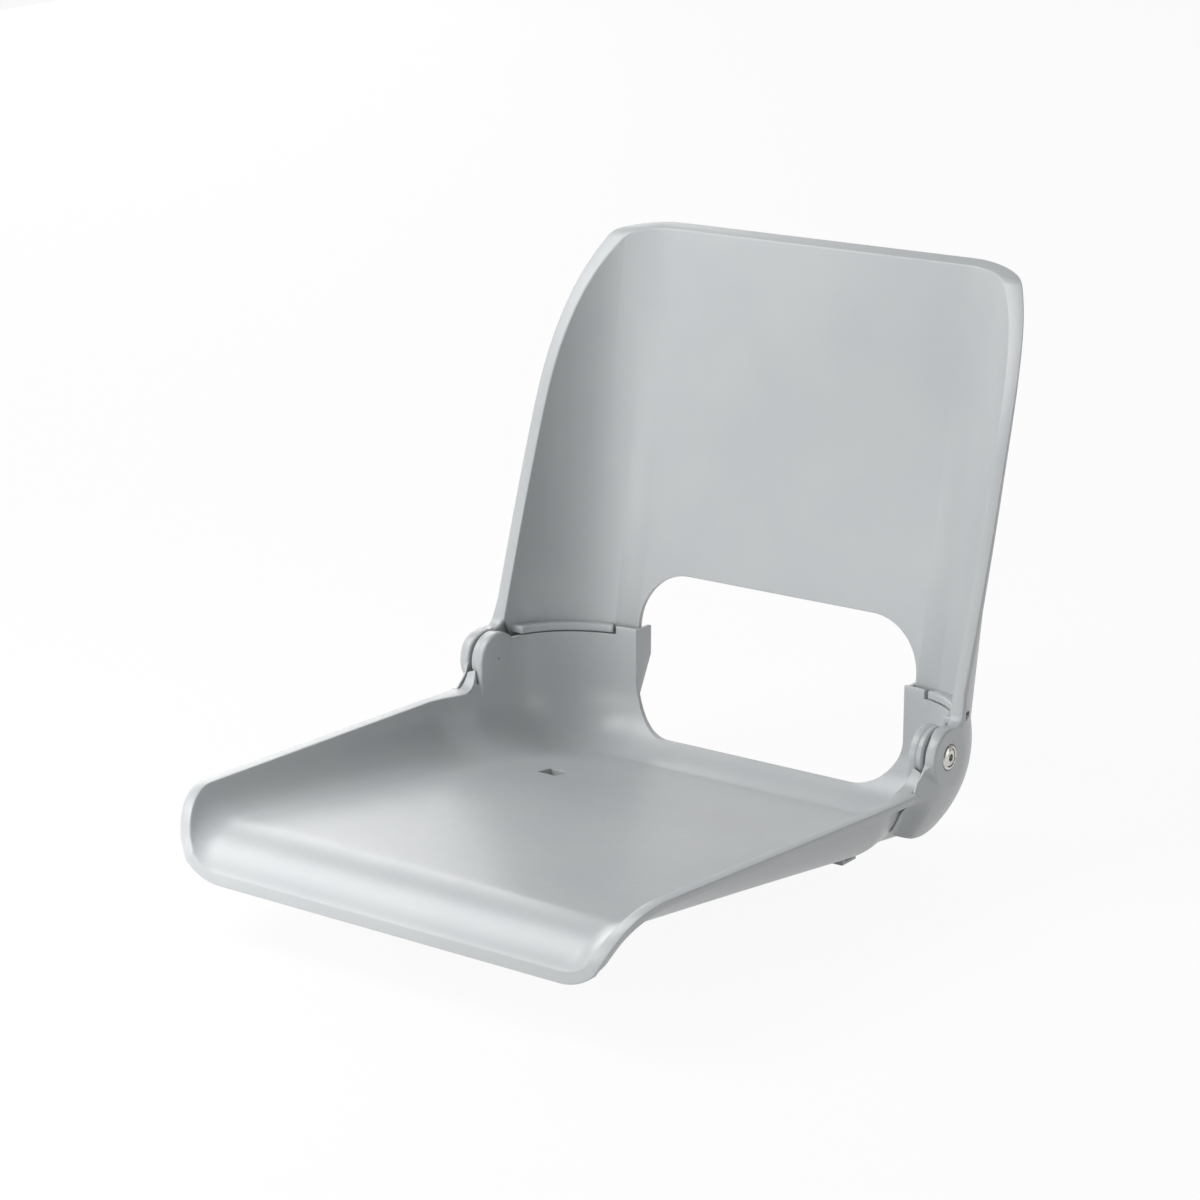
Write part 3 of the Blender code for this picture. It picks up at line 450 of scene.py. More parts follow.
# %% [markdown]
# ## The seat: widths and hollows
# Seen from above, the seat widens from the lip to the hinge and then draws in to the uprights. The
# hollow between pan and wall is part of a circle, which grows towards the back. A wall that is too
# low for the full quarter circle stops part of the way up, so the hollow is measured along its
# length.

# %% Widths and hollows
SIDE_END = -70.0
UPRIGHT_FRONT = -24.0
UPRIGHT_BACK = 84.5
UPRIGHT_HALF = 182.0
SIDE_HALF = 191.0
FRONT_HALF = 181.5
FRONT_TUCK = 13.5
FRONT_HOLLOW = 30.0
REAR_FILLET = 41.0
BEAD_WIDTH = 8.5
BEAD_DEPTH = 5.0
BEAD_END = -22.5


def half_width(y):
    """Half of the width inside the walls."""
    if y < LIP_START:
        return FRONT_HALF - FRONT_TUCK * ((LIP_START - y) / LIP_ROUND) ** 1.8
    if y < SIDE_END:
        return blend(FRONT_HALF, SIDE_HALF, (y - LIP_START) / (SIDE_END - LIP_START))
    return blend(SIDE_HALF, UPRIGHT_HALF, ease((y - SIDE_END) / (UPRIGHT_FRONT - SIDE_END)))


def bead_at(y):
    """Width of the bead, which keeps its outer line where the wall draws in."""
    if y > BEAD_END:
        return 0.0
    return BEAD_WIDTH + max(0.0, SIDE_HALF - half_width(y)) * (y > SIDE_END)


def hollow(y):
    """Radius of the hollow between pan and wall."""
    share = (y - LIP_START) / (UPRIGHT_FRONT - LIP_START)
    return blend(FRONT_HOLLOW, REAR_FILLET, min(1.0, max(0.0, share)))


def climb_length(height, radius):
    """Length along hollow and wall up to a height."""
    height = max(0.5, height)
    if height < radius:
        return radius * math.acos(1.0 - height / radius)
    return radius * math.pi / 2.0 + height - radius


def climb_point(length, radius):
    """Reach, height and turn after a length along hollow and wall."""
    turn = length / radius
    if turn < math.pi / 2.0:
        return radius * math.sin(turn), radius * (1.0 - math.cos(turn)), turn
    return radius, radius + length - radius * math.pi / 2.0, math.pi / 2.0


print("widest inside the walls", 2.0 * half_width(SIDE_END), "mm")

# %% [markdown]
# ## The seat: one slice
# A slice is a closed ring round the wall's thickness: up the inner face, over the bead and down the
# outer face. Offsetting a finished sheet would be shorter, but it could not give the bead, which
# turns with the edge. At the very front the ring ends in the flat face of the lip.

# %% One slice of the seat
WALL = 3.2
PAN_STEPS = 10
WALL_STEPS = 18


def wall_slice(base, outward, pan_y, edge_y, radius, bead):
    """Inner face, bead and outer face of one slice, from the pan to the free edge."""
    below = pan_below(pan_y)
    total = climb_length(rim_level(edge_y) - pan_level(pan_y), radius)
    body = total - BEAD_DEPTH if total > 2.0 * BEAD_DEPTH else total / 2.0
    inner, outer = [], []
    for length in [body * n / WALL_STEPS for n in range(WALL_STEPS + 1)] + [total]:
        reach, height, turn = climb_point(length, radius)
        point = base + outward * reach + Vector((0.0, 0.0, height))
        facing = (outward * math.sin(turn) + below * math.cos(turn)).normalized()
        inner.append(point)
        outer.append(point + facing * WALL)
    edge = rim_facing(edge_y)
    across = (facing - edge * facing.dot(edge)).normalized()
    crown = inner[-1] + across * (bead if bead else WALL)
    sink = edge if edge_y < LIP_START else Vector((0.0, 0.0, 1.0))
    under = crown - sink * (BEAD_DEPTH if bead else BEAD_DEPTH / 2.0)
    return inner, [crown, under], outer[:-1]


def lip_face(upper):
    """Lower edge of the lip's flat front face, and its corner."""
    lower = []
    for point, following in zip(upper[:-1], upper[1:]):
        along = (following - point).normalized()
        lower.append(point + Vector((along.z, 0.0, -along.x)) * BEAD_WIDTH)
    along = (upper[-1] - upper[-2]).normalized()
    corner = upper[-1] + Vector((along.z, 0.0, -along.x)) * BEAD_WIDTH
    return lower, [corner, (corner + lower[-1]) / 2.0]


def seat_ring(wall, pan_half, pan_y, front=False):
    """One closed slice across the whole seat: upper face, right bead, lower face, left bead."""
    inner, crown, outer = wall
    level = pan_level(pan_y)
    flat = [Vector((pan_half * n / PAN_STEPS, pan_y, level)) for n in range(PAN_STEPS)]
    upper = flat + inner
    lower = [point + pan_below(pan_y) * WALL for point in flat] + outer
    if front:
        lower, crown = lip_face(upper)
    left = Vector((-1.0, 1.0, 1.0))
    ring = [p * left for p in reversed(upper[1:])] + upper + crown + list(reversed(lower))
    return ring + [p * left for p in lower[1:]] + [p * left for p in reversed(crown)]


print("slices with", PAN_STEPS, "steps on the pan and", WALL_STEPS, "up the wall")

# %% [markdown]
# ## The seat: slice after slice
# The slices lie close together where the shape turns, at the lip and on the ramp to the hinge, and
# wide apart where it runs straight. Behind the hinge they fan out round the rear corners. The lower
# face of the first slices goes straight back from the lip's flat face, so that the lip keeps an
# even edge.

# %% Slices from front to back
STEP_RUN = 2.4
RAMP_MIDDLE = -31.0
RAMP_TOP = RISE_START + RISE_RUN
LIP_RUNS = (0.0, 1.3, 1.9, 2.5, 3.1, 3.7, BEAD_DEPTH)
LIP_EDGES = (0.9, 1.3, 1.75, 2.3, 3.0, 3.8, BEAD_DEPTH)
CORNER_ROUND = 62.5
CORNER_X = UPRIGHT_HALF - CORNER_ROUND
CORNER_Y = UPRIGHT_BACK - CORNER_ROUND
CORNER_STEPS = 18

lip_end = FRONT + BEAD_DEPTH + STEP_RUN
bead_out = BEAD_END + STEP_RUN
depths = [FRONT + run for run in LIP_RUNS] + [lip_end] + spaced(lip_end, LIP_START, 14, 1.2)
depths += spaced(LIP_START, SIDE_END, 20) + spaced(SIDE_END, RAMP_MIDDLE, 9)
depths += spaced(RAMP_MIDDLE, BEAD_END, 6) + [bead_out] + spaced(bead_out, RAMP_TOP, 9)
depths += spaced(RAMP_TOP, CORNER_Y, 6)
rim_depths = [FRONT + run for run in LIP_EDGES] + depths[len(LIP_EDGES):]
rings = []
for y, edge_y in zip(depths, rim_depths):
    radius = hollow(y)
    height = rim_level(max(y, LIP_START)) - pan_level(max(y, LIP_START))
    pan_half = half_width(y) - climb_point(climb_length(height, radius), radius)[0]
    base = Vector((pan_half, y, pan_level(y)))
    wall = wall_slice(base, Vector((1.0, 0.0, 0.0)), y, edge_y, radius, bead_at(y))
    rings.append(seat_ring(wall, pan_half, y, front=y == FRONT))
# In a ring, these columns are the lower face from the right wall to the left one.
lower_count = PAN_STEPS + WALL_STEPS + 1
for row, run in enumerate(LIP_RUNS):
    back = Vector((0.0, run, 0.0))
    for column in range(2 * lower_count + 3, 4 * lower_count + 2):
        rings[row][column] = rings[0][column] + back
corner_core = CORNER_ROUND - REAR_FILLET
for step in range(1, CORNER_STEPS + 1):
    turn = math.pi / 2.0 * step / CORNER_STEPS
    outward = Vector((math.cos(turn), math.sin(turn), 0.0))
    pan_y = CORNER_Y + corner_core * outward.y
    pan_half = CORNER_X + corner_core * outward.x
    base = Vector((pan_half, pan_y, pan_level(pan_y)))
    rim_y = CORNER_Y + CORNER_ROUND * outward.y
    wall = wall_slice(base, outward, pan_y, rim_y, REAR_FILLET, 0.0)
    rings.append(seat_ring(wall, pan_half, pan_y))
print(len(rings), "slices of", len(rings[0]), "points")

# %% [markdown]
# ## The seat: skin
# A flat grid has the faces already joined up, so each of its points only has to be lifted to its
# place in the slices. The straight wall at the back is a second grid. Doubles are merged, the ends
# are filled, and every sharp edge gets the small round that a mould leaves. Insetting the large
# front face keeps its shading flat up to that round.

# %% Seat skin
SHARP = math.radians(42.0)
SEAT_EDGE = 0.7


def mapped_grid(rows):
    """Lift a flat grid so that each of its points takes its place in a table of slices."""
    mesh = bmesh.new()
    last_row, last_column = len(rows) - 1, len(rows[0]) - 1
    bmesh.ops.create_grid(mesh, x_segments=last_column, y_segments=last_row, size=0.5)
    for vertex in mesh.verts:
        column = round((vertex.co.x + 0.5) * last_column)
        row = round((vertex.co.y + 0.5) * last_row)
        vertex.co = rows[row][column]
    return mesh


def soften(mesh, width, segments, least_turn):
    """Round every edge that turns by more than an angle."""
    sharp = [e for e in mesh.edges
             if len(e.link_faces) == 2 and e.calc_face_angle() > least_turn]
    bmesh.ops.bevel(mesh, geom=sharp, offset=width, offset_type="OFFSET", segments=segments,
                    profile=0.5, affect="EDGES", clamp_overlap=False, material=-1)


skin = mapped_grid([ring + ring[:1] for ring in rings])
back_y = CORNER_Y + corner_core
backward = Vector((0.0, 1.0, 0.0))
back_rows = []
for column in range(-PAN_STEPS, PAN_STEPS + 1):
    base = Vector((CORNER_X * column / PAN_STEPS, back_y, pan_level(back_y)))
    inner, crown, outer = wall_slice(base, backward, back_y, UPRIGHT_BACK, REAR_FILLET, 0.0)
    back_rows.append(inner + crown + list(reversed(outer)))
back_data = bpy.data.meshes.new("seat_back_rows")
back_grid = mapped_grid(back_rows)
back_grid.to_mesh(back_data)
back_grid.free()
skin.from_mesh(back_data)
bpy.data.meshes.remove(back_data)
bmesh.ops.remove_doubles(skin, verts=skin.verts, dist=0.02)
bmesh.ops.holes_fill(skin, edges=[e for e in skin.edges if e.is_boundary], sides=0)
bmesh.ops.recalc_face_normals(skin, faces=skin.faces)
soften(skin, SEAT_EDGE, 3, SHARP)
large_faces = [f for f in skin.faces if len(f.verts) > 40]
front_face = min(large_faces, key=lambda f: f.calc_center_median().y)
bmesh.ops.inset_region(skin, faces=[front_face], thickness=0.5)
gaps = sum(not e.is_manifold for e in skin.edges)
print("seat skin", len(skin.faces), "faces,", gaps, "open edges")

# %% [markdown]
# ## Outlines and plates
# Many details of a moulding are an outline pulled to a thickness: a cheek, a gusset, the room for
# an opening. So one helper draws arcs, one rounds the corners of an outline, and one pulls it into
# a plate. A matrix says whether the outline is drawn from above, from the front or from the side.

# %% Outlines and plates
ALONG_HINGE = Matrix(((0, 0, 1, 0), (1, 0, 0, 0), (0, 1, 0, 0), (0, 0, 0, 1)))
FROM_FRONT = Matrix(((1, 0, 0, 0), (0, 0, -1, 0), (0, 1, 0, 0), (0, 0, 0, 1)))
FROM_ABOVE = Matrix.Identity(4)


def arc(centre, radius, first, last, steps):
    """Points on a circle between two angles in degrees."""
    turns = [math.radians(blend(first, last, n / steps)) for n in range(steps + 1)]
    return [(centre[0] + radius * math.cos(t), centre[1] + radius * math.sin(t)) for t in turns]


def rounded(corners, radii, steps):
    """Outline through corners, each rounded by its own radius."""
    points = []
    for index, corner in enumerate(corners):
        here = Vector(corner)
        before = (Vector(corners[index - 1]) - here).normalized()
        after = (Vector(corners[(index + 1) % len(corners)]) - here).normalized()
        if radii[index] <= 0.0:
            points.append(tuple(here))
            continue
        opening = before.angle(after)
        middle = here + (before + after).normalized() * radii[index] / math.sin(opening / 2.0)
        reach = radii[index] / math.tan(opening / 2.0)
        first = here + before * reach - middle
        last = here + after * reach - middle
        sweep = math.copysign(math.pi - opening, first.x * last.y - first.y * last.x)
        for step in range(steps + 1):
            points.append(tuple(middle + Matrix.Rotation(sweep * step / steps, 2) @ first))
    return points


def square(x, y, half):
    return [(x - half, y - half), (x + half, y - half), (x + half, y + half), (x - half, y + half)]


def plate(outline, first, last, axes, round_edge=0.0):
    """Pull an outline from one distance to another along its normal."""
    mesh = bmesh.new()
    face = mesh.faces.new([mesh.verts.new((a, b, first)) for a, b in outline])
    pulled = bmesh.ops.extrude_face_region(mesh, geom=[face])
    top = [item for item in pulled["geom"] if isinstance(item, bmesh.types.BMVert)]
    bmesh.ops.translate(mesh, vec=(0.0, 0.0, last - first), verts=top)
    bmesh.ops.recalc_face_normals(mesh, faces=mesh.faces)
    if round_edge:
        soften(mesh, round_edge, 4, math.radians(35.0))
    bmesh.ops.transform(mesh, matrix=axes, verts=mesh.verts)
    return mesh


print("a rounded square has", len(rounded(square(0.0, 0.0, 5.0), [1.0] * 4, 6)), "points")

# %% [markdown]
# ## Joining and cutting
# A mould's inserts leave openings, and its pockets add bosses. The Boolean modifier does the same
# with two bodies. It is exact, but it can drop a body whose faces lie exactly in those of the
# other. So bodies that meet below are a little larger, smaller or turned, by less than can be seen.
# Most details come in pairs, so the left one is the mirror of the right one.

# %% Joining and cutting
def fitted(base, tool, operation, tangled=False):
    """Join, cut or trim a body with another; a tangled one crosses itself at a rounded corner."""
    benches = []
    for label, mesh in (("base", base), ("tool", tool)):
        data = bpy.data.meshes.new(label)
        mesh.to_mesh(data)
        mesh.free()
        bench = bpy.data.objects.new(label, data)
        bpy.context.scene.collection.objects.link(bench)
        benches.append(bench)
    step = benches[0].modifiers.new("step", "BOOLEAN")
    step.operation = operation
    step.solver = "EXACT"
    step.use_self = tangled
    step.object = benches[1]
    result = bmesh.new()
    result.from_object(benches[0], bpy.context.evaluated_depsgraph_get())
    for bench in benches:
        data = bench.data
        bpy.data.objects.remove(bench)
        bpy.data.meshes.remove(data)
    return result


def other_side(mesh):
    """The same body on the left of the seat."""
    twin = mesh.copy()
    bmesh.ops.scale(twin, vec=(-1.0, 1.0, 1.0), verts=twin.verts)
    bmesh.ops.reverse_faces(twin, faces=twin.faces)
    return twin


def fitted_pair(base, tool, operation):
    return fitted(fitted(base, other_side(tool), operation), tool, operation)


print("joining and cutting ready")

# %% [markdown]
# ## Openings of the seat
# The mould leaves a wide window at the back, a notch on top of each upright for the backrest to
# lean on, room for the ear of the backrest to turn, a narrow slit that parts the hinge cheek from
# the rim, and a small square hole in the pan with a collar below it. Each is one plate cut out of
# the skin, which keeps the edges crisp.

# %% Cut the openings
EAR_INNER = 195.2
EAR_OUTER = 203.7
EAR_ROUND = 20.0
EAR_ROOM = 0.9
HEEL_GAP = 0.6
HEEL_FAR = 180.0
HEEL_TOE = ((-20.6, -3.0), (-22.3, -6.2), (-25.0, -9.4), (-28.6, -12.6), (-32.0, -16.0),
            (-35.0, -21.0), (-35.6, -27.0), (-34.0, -33.0))
HEEL_LEAN = math.radians(12.0)
WINDOW_HALF, WINDOW_FLOOR, WINDOW_ROUND = 116.8, -64.0, 37.0
NOTCH_INNER, NOTCH_OUTER, NOTCH_FLOOR = 56.0, 69.0, 13.5
SLIT = ((176.0, -24.5), (182.3, -24.5), (187.0, -8.0), (189.0, 0.0), (189.0, 44.0), (176.0, 44.0))
HOLE_X, HOLE_Y, HOLE_HALF, COLLAR_HALF = -106.0, -35.0, 8.0, 10.4
ABOVE = 40.0
SUNK = WALL / 2.0
TOP_LEAN = Matrix.Rotation(-math.atan(TOP_SLOPE), 4, "X")


def heel_view(radius, gap):
    """Side view of the space that an ear and its heel take, out to below and behind."""
    toe = [(y - gap, z) for y, z in HEEL_TOE]
    heel = (toe[-1][0] - (HEEL_FAR + toe[-1][1]) * math.tan(HEEL_LEAN), -HEEL_FAR)
    front = arc((0.0, 0.0), radius, 90.0, 180.0, 24) + toe
    return front + [heel, (HEEL_FAR, -HEEL_FAR), (HEEL_FAR, radius)]


window = rounded([(-WINDOW_HALF, WINDOW_FLOOR), (WINDOW_HALF, WINDOW_FLOOR), (WINDOW_HALF, ABOVE),
                  (-WINDOW_HALF, ABOVE)], [WINDOW_ROUND, WINDOW_ROUND, 0.0, 0.0], 24)
window_room = plate(window, -(UPRIGHT_BACK + 8.0), -back_y, FROM_FRONT)
seat = fitted(skin, window_room, "DIFFERENCE", tangled=True)
ear_room = plate(heel_view(EAR_ROUND + EAR_ROOM, HEEL_GAP), EAR_INNER - EAR_ROOM, EAR_OUTER + 8.0,
                 ALONG_HINGE)
seat = fitted_pair(seat, ear_room, "DIFFERENCE")
corner = (CORNER_X, CORNER_Y)
notch_plan = arc(corner, NOTCH_INNER, 0.0, 76.0, 32) + arc(corner, NOTCH_OUTER, 76.0, 0.0, 32)
notch_plan += [(CORNER_X + NOTCH_OUTER, SIDE_END), (CORNER_X + NOTCH_INNER, SIDE_END)]
notch = plate(notch_plan, NOTCH_FLOOR, ABOVE, FROM_ABOVE)
bmesh.ops.transform(notch, matrix=TOP_LEAN, verts=notch.verts)
seat = fitted_pair(seat, notch, "DIFFERENCE")
seat = fitted_pair(seat, plate(SLIT, 18.2, 38.0, FROM_FRONT), "DIFFERENCE")
collar_top = pan_level(HOLE_Y) - SUNK
collar = plate(square(HOLE_X, HOLE_Y, COLLAR_HALF), -76.0, collar_top, FROM_ABOVE)
seat = fitted(seat, collar, "UNION")
hole = plate(square(HOLE_X, HOLE_Y, HOLE_HALF), -120.0, 0.0, FROM_ABOVE)
seat = fitted(seat, hole, "DIFFERENCE")
print("openings cut,", len(seat.faces), "faces")

# %% [markdown]
# ## Hinge cheeks, gussets and hooks
# At each hinge the upright thickens into a round cheek, and a boss on it carries the ear of the
# backrest. Behind the window a small gusset stiffens each upright, and a hook hangs below the pan.
# The boss is round, so it is a profile spun about the hinge axis; the others are plates. All reach
# a little into the wall, as one moulding does.

# %% Cheeks, bosses, gussets and hooks
CHEEK_FOOT = [(-20.3, -36.0), (-2.0, -44.0), (6.0, -30.0), (18.0, 8.0), (17.0, 13.6), (12.0, 16.4)]
BOSS = [(0.0, 183.0), (19.5, 183.0), (19.5, 191.8), (18.4, 193.2), (0.0, 193.2)]
GUSSET = [(86.1, -40.0), (89.5, -40.0), (104.5, -10.0), (104.5, 12.2), (86.1, 12.5)]
HOOK = [(-36.0, -81.0), (-19.0, -84.5), (-19.0, -88.5), (-1.0, -88.5), (-1.0, -86.2),
        (-15.5, -86.2)]


def turned(profile, steps=96):
    """Spin a profile of (radius, x) points about the hinge axis."""
    mesh = bmesh.new()
    points = [mesh.verts.new((x, 0.0, radius)) for radius, x in profile]
    start = 0 if profile[0][0] > 0.0 else 1
    edges = [mesh.edges.new((points[n - 1], points[n])) for n in range(start, len(points))]
    bmesh.ops.spin(mesh, geom=points + edges, cent=(0.0, 0.0, 0.0), axis=(1.0, 0.0, 0.0),
                   angle=2.0 * math.pi, steps=steps, use_merge=True)
    bmesh.ops.remove_doubles(mesh, verts=mesh.verts, dist=0.001)
    bmesh.ops.recalc_face_normals(mesh, faces=mesh.faces)
    return mesh


cheek_line = arc((0.0, 0.0), EAR_ROUND, 70.0, 180.0, 32) + CHEEK_FOOT
cheek = plate(cheek_line, UPRIGHT_HALF - 0.06, 189.4, ALONG_HINGE, 2.2)
seat = fitted_pair(seat, cheek, "UNION")
boss = turned(BOSS)
# Turned a little, so that its facets do not lie in those of the cheek.
bmesh.ops.rotate(boss, matrix=Matrix.Rotation(0.013, 3, "X"), verts=boss.verts)
seat = fitted_pair(seat, boss, "UNION")
seat = fitted_pair(seat, plate(GUSSET, 117.1, 120.5, ALONG_HINGE, 0.6), "UNION")
hook_top = pan_level(-19.0) - SUNK
hook = plate(HOOK + [(-15.5, hook_top), (-36.0, hook_top)], 120.0, 132.0, ALONG_HINGE, 0.5)
seat = fitted_pair(seat, hook, "UNION")
print("cheeks, bosses, gussets and hooks joined,", len(seat.faces), "faces")

# %% [markdown]
# ## Underside of the seat
# Such a seat is screwed to a pedestal. Its underside is out of sight, so it gets what is usual: a
# hub, two crossing ribs, and four posts with brass inserts. Round ones are spun and stood upright.
# Hub and ribs end inside the sloping wall of the pan, so their tops follow its slope.

# %% Hub, ribs and posts
PITCH_HALF = 63.5
HUB_ROUND = 20.0
RIB_LENGTH, RIB_WIDTH = 161.6, 4.0
POST_ROUND = 12.0
INSERT_ROUND, INSERT_DEPTH = 6.6, 14.3
# The pedestal face is the frame's origin, here seen from the hinge in millimetres.
pedestal = -1000.0 * hinge
FACE_Y, FACE_Z = pedestal.y, pedestal.z


def standing(profile, x, y):
    """A turned post on the pedestal face, turned a little so that no facets lie in each other."""
    post = turned(profile, 48)
    upright = ALONG_HINGE.inverted()
    place = Matrix.Translation((x, FACE_Y + y, FACE_Z)) @ Matrix.Rotation(0.029, 4, "Z")
    bmesh.ops.transform(post, matrix=place @ upright, verts=post.verts)
    return post


hub_top = pan_level(FACE_Y) - SUNK - FACE_Z
hub = standing([(0.0, 0.0), (HUB_ROUND - 1.0, 0.0), (HUB_ROUND, 1.0), (HUB_ROUND, hub_top),
                (0.0, hub_top)], 0.0, 0.0)
for vertex in hub.verts:
    if vertex.co.z > FACE_Z + 2.0:
        # A little lower than the tops of the ribs, so that they do not lie in one plane.
        vertex.co.z = pan_level(vertex.co.y) - 1.7
seat = fitted(seat, hub, "UNION")
for turn in (45.0, -45.0):
    rib = bmesh.new()
    bmesh.ops.create_cube(rib, size=1.0)
    bmesh.ops.scale(rib, vec=(RIB_LENGTH, RIB_WIDTH, 1.0), verts=rib.verts)
    bmesh.ops.rotate(rib, matrix=Matrix.Rotation(math.radians(turn), 3, "Z"), verts=rib.verts)
    bmesh.ops.translate(rib, vec=(0.0, FACE_Y, 0.0), verts=rib.verts)
    # One rib lies a little lower than the other, so that their faces do not lie in each other.
    rib_foot = FACE_Z + 2.0 + 0.003 * turn
    for vertex in rib.verts:
        vertex.co.z = pan_level(vertex.co.y) - SUNK if vertex.co.z > 0.0 else rib_foot
    seat = fitted(seat, rib, "UNION")
for y in (-PITCH_HALF, PITCH_HALF):
    top = pan_level(FACE_Y + y) - SUNK - FACE_Z
    post = standing([(0.0, 0.0), (POST_ROUND - 0.8, 0.0), (POST_ROUND, 0.8), (POST_ROUND, top),
                     (0.0, top)], PITCH_HALF, y)
    seat = fitted_pair(seat, post, "UNION")
    socket = standing([(0.0, -4.0), (INSERT_ROUND, -4.0), (INSERT_ROUND, INSERT_DEPTH),
                       (0.0, INSERT_DEPTH)], PITCH_HALF, y)
    seat = fitted_pair(seat, socket, "DIFFERENCE")
print("underside joined,", len(seat.faces), "faces")

# %% [markdown]
# ## Finishing the seat
# Each hinge boss has a socket for its brass insert, and a pinhole that shows in the middle of the
# cheek. Then the moulding is done: strays are merged, millimetres about the hinge become metres,
# and the piece is hung on its body in place of the plain solid. Smooth shading with creases at
# sharp edges suits a moulding better than flat faces.

# %% Finished seat moulding
def finished(mesh, name, body, node, material, crease=32.0):
    """Merge strays, turn millimetres about the hinge into metres and hang the piece on its body."""
    bmesh.ops.remove_doubles(mesh, verts=mesh.verts, dist=0.02)
    bmesh.ops.dissolve_degenerate(mesh, edges=mesh.edges, dist=0.005)
    open_edges = sum(not e.is_manifold for e in mesh.edges)
    place = Matrix.Translation(hinge) @ Matrix.Scale(0.001, 4)
    bmesh.ops.transform(mesh, matrix=place, verts=mesh.verts)
    data = bpy.data.meshes.new(name)
    mesh.to_mesh(data)
    mesh.free()
    data.materials.append(material)
    data.shade_smooth()
    data.set_sharp_from_angle(angle=math.radians(crease))
    piece = bpy.data.objects.new(name, data)
    bpy.context.scene.collection.objects.link(piece)
    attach(piece, body)
    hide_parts(node)
    print(name, len(data.polygons), "faces,", open_edges, "open edges")


SOCKET_FLOOR = 184.3
PINHOLE_ROUND = 0.8

hinge_socket = turned([(0.0, SOCKET_FLOOR), (INSERT_ROUND, SOCKET_FLOOR), (INSERT_ROUND, 200.0),
                       (0.0, 200.0)], 48)
seat = fitted_pair(seat, hinge_socket, "DIFFERENCE")
pinhole = turned([(0.0, 176.0), (PINHOLE_ROUND, 176.0), (PINHOLE_ROUND, 188.0), (0.0, 188.0)], 16)
seat = fitted_pair(seat, pinhole, "DIFFERENCE")
finished(seat, "seat_moulding", "seat", "seat_shell", grey)

# %% [markdown]
# ## The backrest: side view
# The backrest is a sheet bent round the sitter: flat in the middle, with two wings curving forward.
# Seen from the side, its front edge leans back, rounds over at the shoulder and runs up to the top.
# The side view is three straight lines with rounded corners; set in by a few millimetres, the same
# lines give the inner edge of the bead.

# %% Side view of the backrest
RECLINE = math.radians(9.4)
EDGE_LEAN = math.radians(17.57)
EDGE_OFFSET = 10.5
SHOULDER_LEAN = math.radians(34.4)
SHOULDER_LEVEL, SHOULDER_ROUND = 236.7, 420.0
TOP_RISE = math.radians(19.0)
TOP_CORNER_LEVEL, TOP_CORNER_ROUND = 304.7, 18.0


def heading(turn):
    return Vector((math.cos(turn), math.sin(turn)))


def meeting(first, first_turn, second, second_turn):
    """Point where two lines meet, each given by a point and a direction."""
    a = heading(first_turn)
    b = heading(second_turn)
    apart = second - first
    return first + a * (apart.x * b.y - apart.y * b.x) / (a.x * b.y - a.y * b.x)


def side_outline(inset, bottom):
    """Side view of the backrest behind its front and top edge, set in by a distance."""
    up = math.pi / 2.0
    turns = (up - EDGE_LEAN, up - SHOULDER_LEAN, TOP_RISE)
    foot = Vector((math.sin(turns[0]), -math.cos(turns[0]))) * EDGE_OFFSET
    shoulder = foot + heading(turns[0]) * (SHOULDER_LEVEL - foot.y) / math.sin(turns[0])
    top = shoulder + heading(turns[1]) * (TOP_CORNER_LEVEL - shoulder.y) / math.sin(turns[1])
    lines = [point + Vector((math.sin(t), -math.cos(t))) * inset
             for point, t in zip((foot, shoulder, top), turns)]
    far = 400.0
    corners = [meeting(lines[0], turns[0], Vector((0.0, -bottom)), 0.0),
               meeting(lines[0], turns[0], lines[1], turns[1]),
               meeting(lines[1], turns[1], lines[2], turns[2]),
               meeting(lines[2], turns[2], Vector((far, 0.0)), up),
               Vector((far, -bottom))]
    return rounded(corners, [0.0, SHOULDER_ROUND, TOP_CORNER_ROUND, 0.0, 0.0], 8)


print("side view of", len(side_outline(0.0, 14.0)), "points")

# %% [markdown]
# ## The backrest: sheet and bead
# A bent sheet could be a surface with a thickness, but its bead would then be a second piece. Here
# a thick bent plan is pulled upwards, leaned back and trimmed by the side view. A second, smaller
# layer is taken off behind it, which leaves the thin wall with a bead along its edge.

# %% Backrest sheet and bead
BACK_WALL = 3.5
BACK_BEAD = 9.5
WING_HALF = 191.4
WING_ROUND = 68.2
LEG_BACK = UPRIGHT_BACK + WALL + 1.0 + 14.0 * math.tan(RECLINE)
BACK_SET = LEG_BACK * math.cos(RECLINE)
BACK_EDGE = 0.9


def bent_plan(first, last):
    """Plan of the bent sheet between two offsets from its inner face."""
    centre = (WING_HALF - WING_ROUND, BACK_SET - WING_ROUND)

    def path(offset):
        run = [(centre[0] + WING_ROUND + offset, -WING_ROUND)]
        run += arc(centre, WING_ROUND + offset, 0.0, 90.0, 44)
        return run + [(-x, y) for x, y in reversed(run)]

    return path(first) + list(reversed(path(last)))


def leaned_back(mesh):
    bmesh.ops.rotate(mesh, matrix=Matrix.Rotation(-RECLINE, 3, "X"), verts=mesh.verts)
    return mesh


sheet = leaned_back(plate(bent_plan(0.0, BACK_BEAD), -120.0, 395.0, FROM_ABOVE))
trim = plate(side_outline(0.0, 14.0), -420.0, 420.0, ALONG_HINGE)
back = fitted(sheet, trim, "INTERSECT")
layer = leaned_back(plate(bent_plan(BACK_WALL, 19.0), -180.0, 405.0, FROM_ABOVE))
layer_trim = plate(side_outline(5.0, 120.0), -450.0, 450.0, ALONG_HINGE)
layer = fitted(layer, layer_trim, "INTERSECT")
back = fitted(back, layer, "DIFFERENCE")
bmesh.ops.remove_doubles(back, verts=back.verts, dist=0.05)
soften(back, BACK_EDGE, 3, SHARP)
print("bent sheet with its bead,", len(back.faces), "faces")

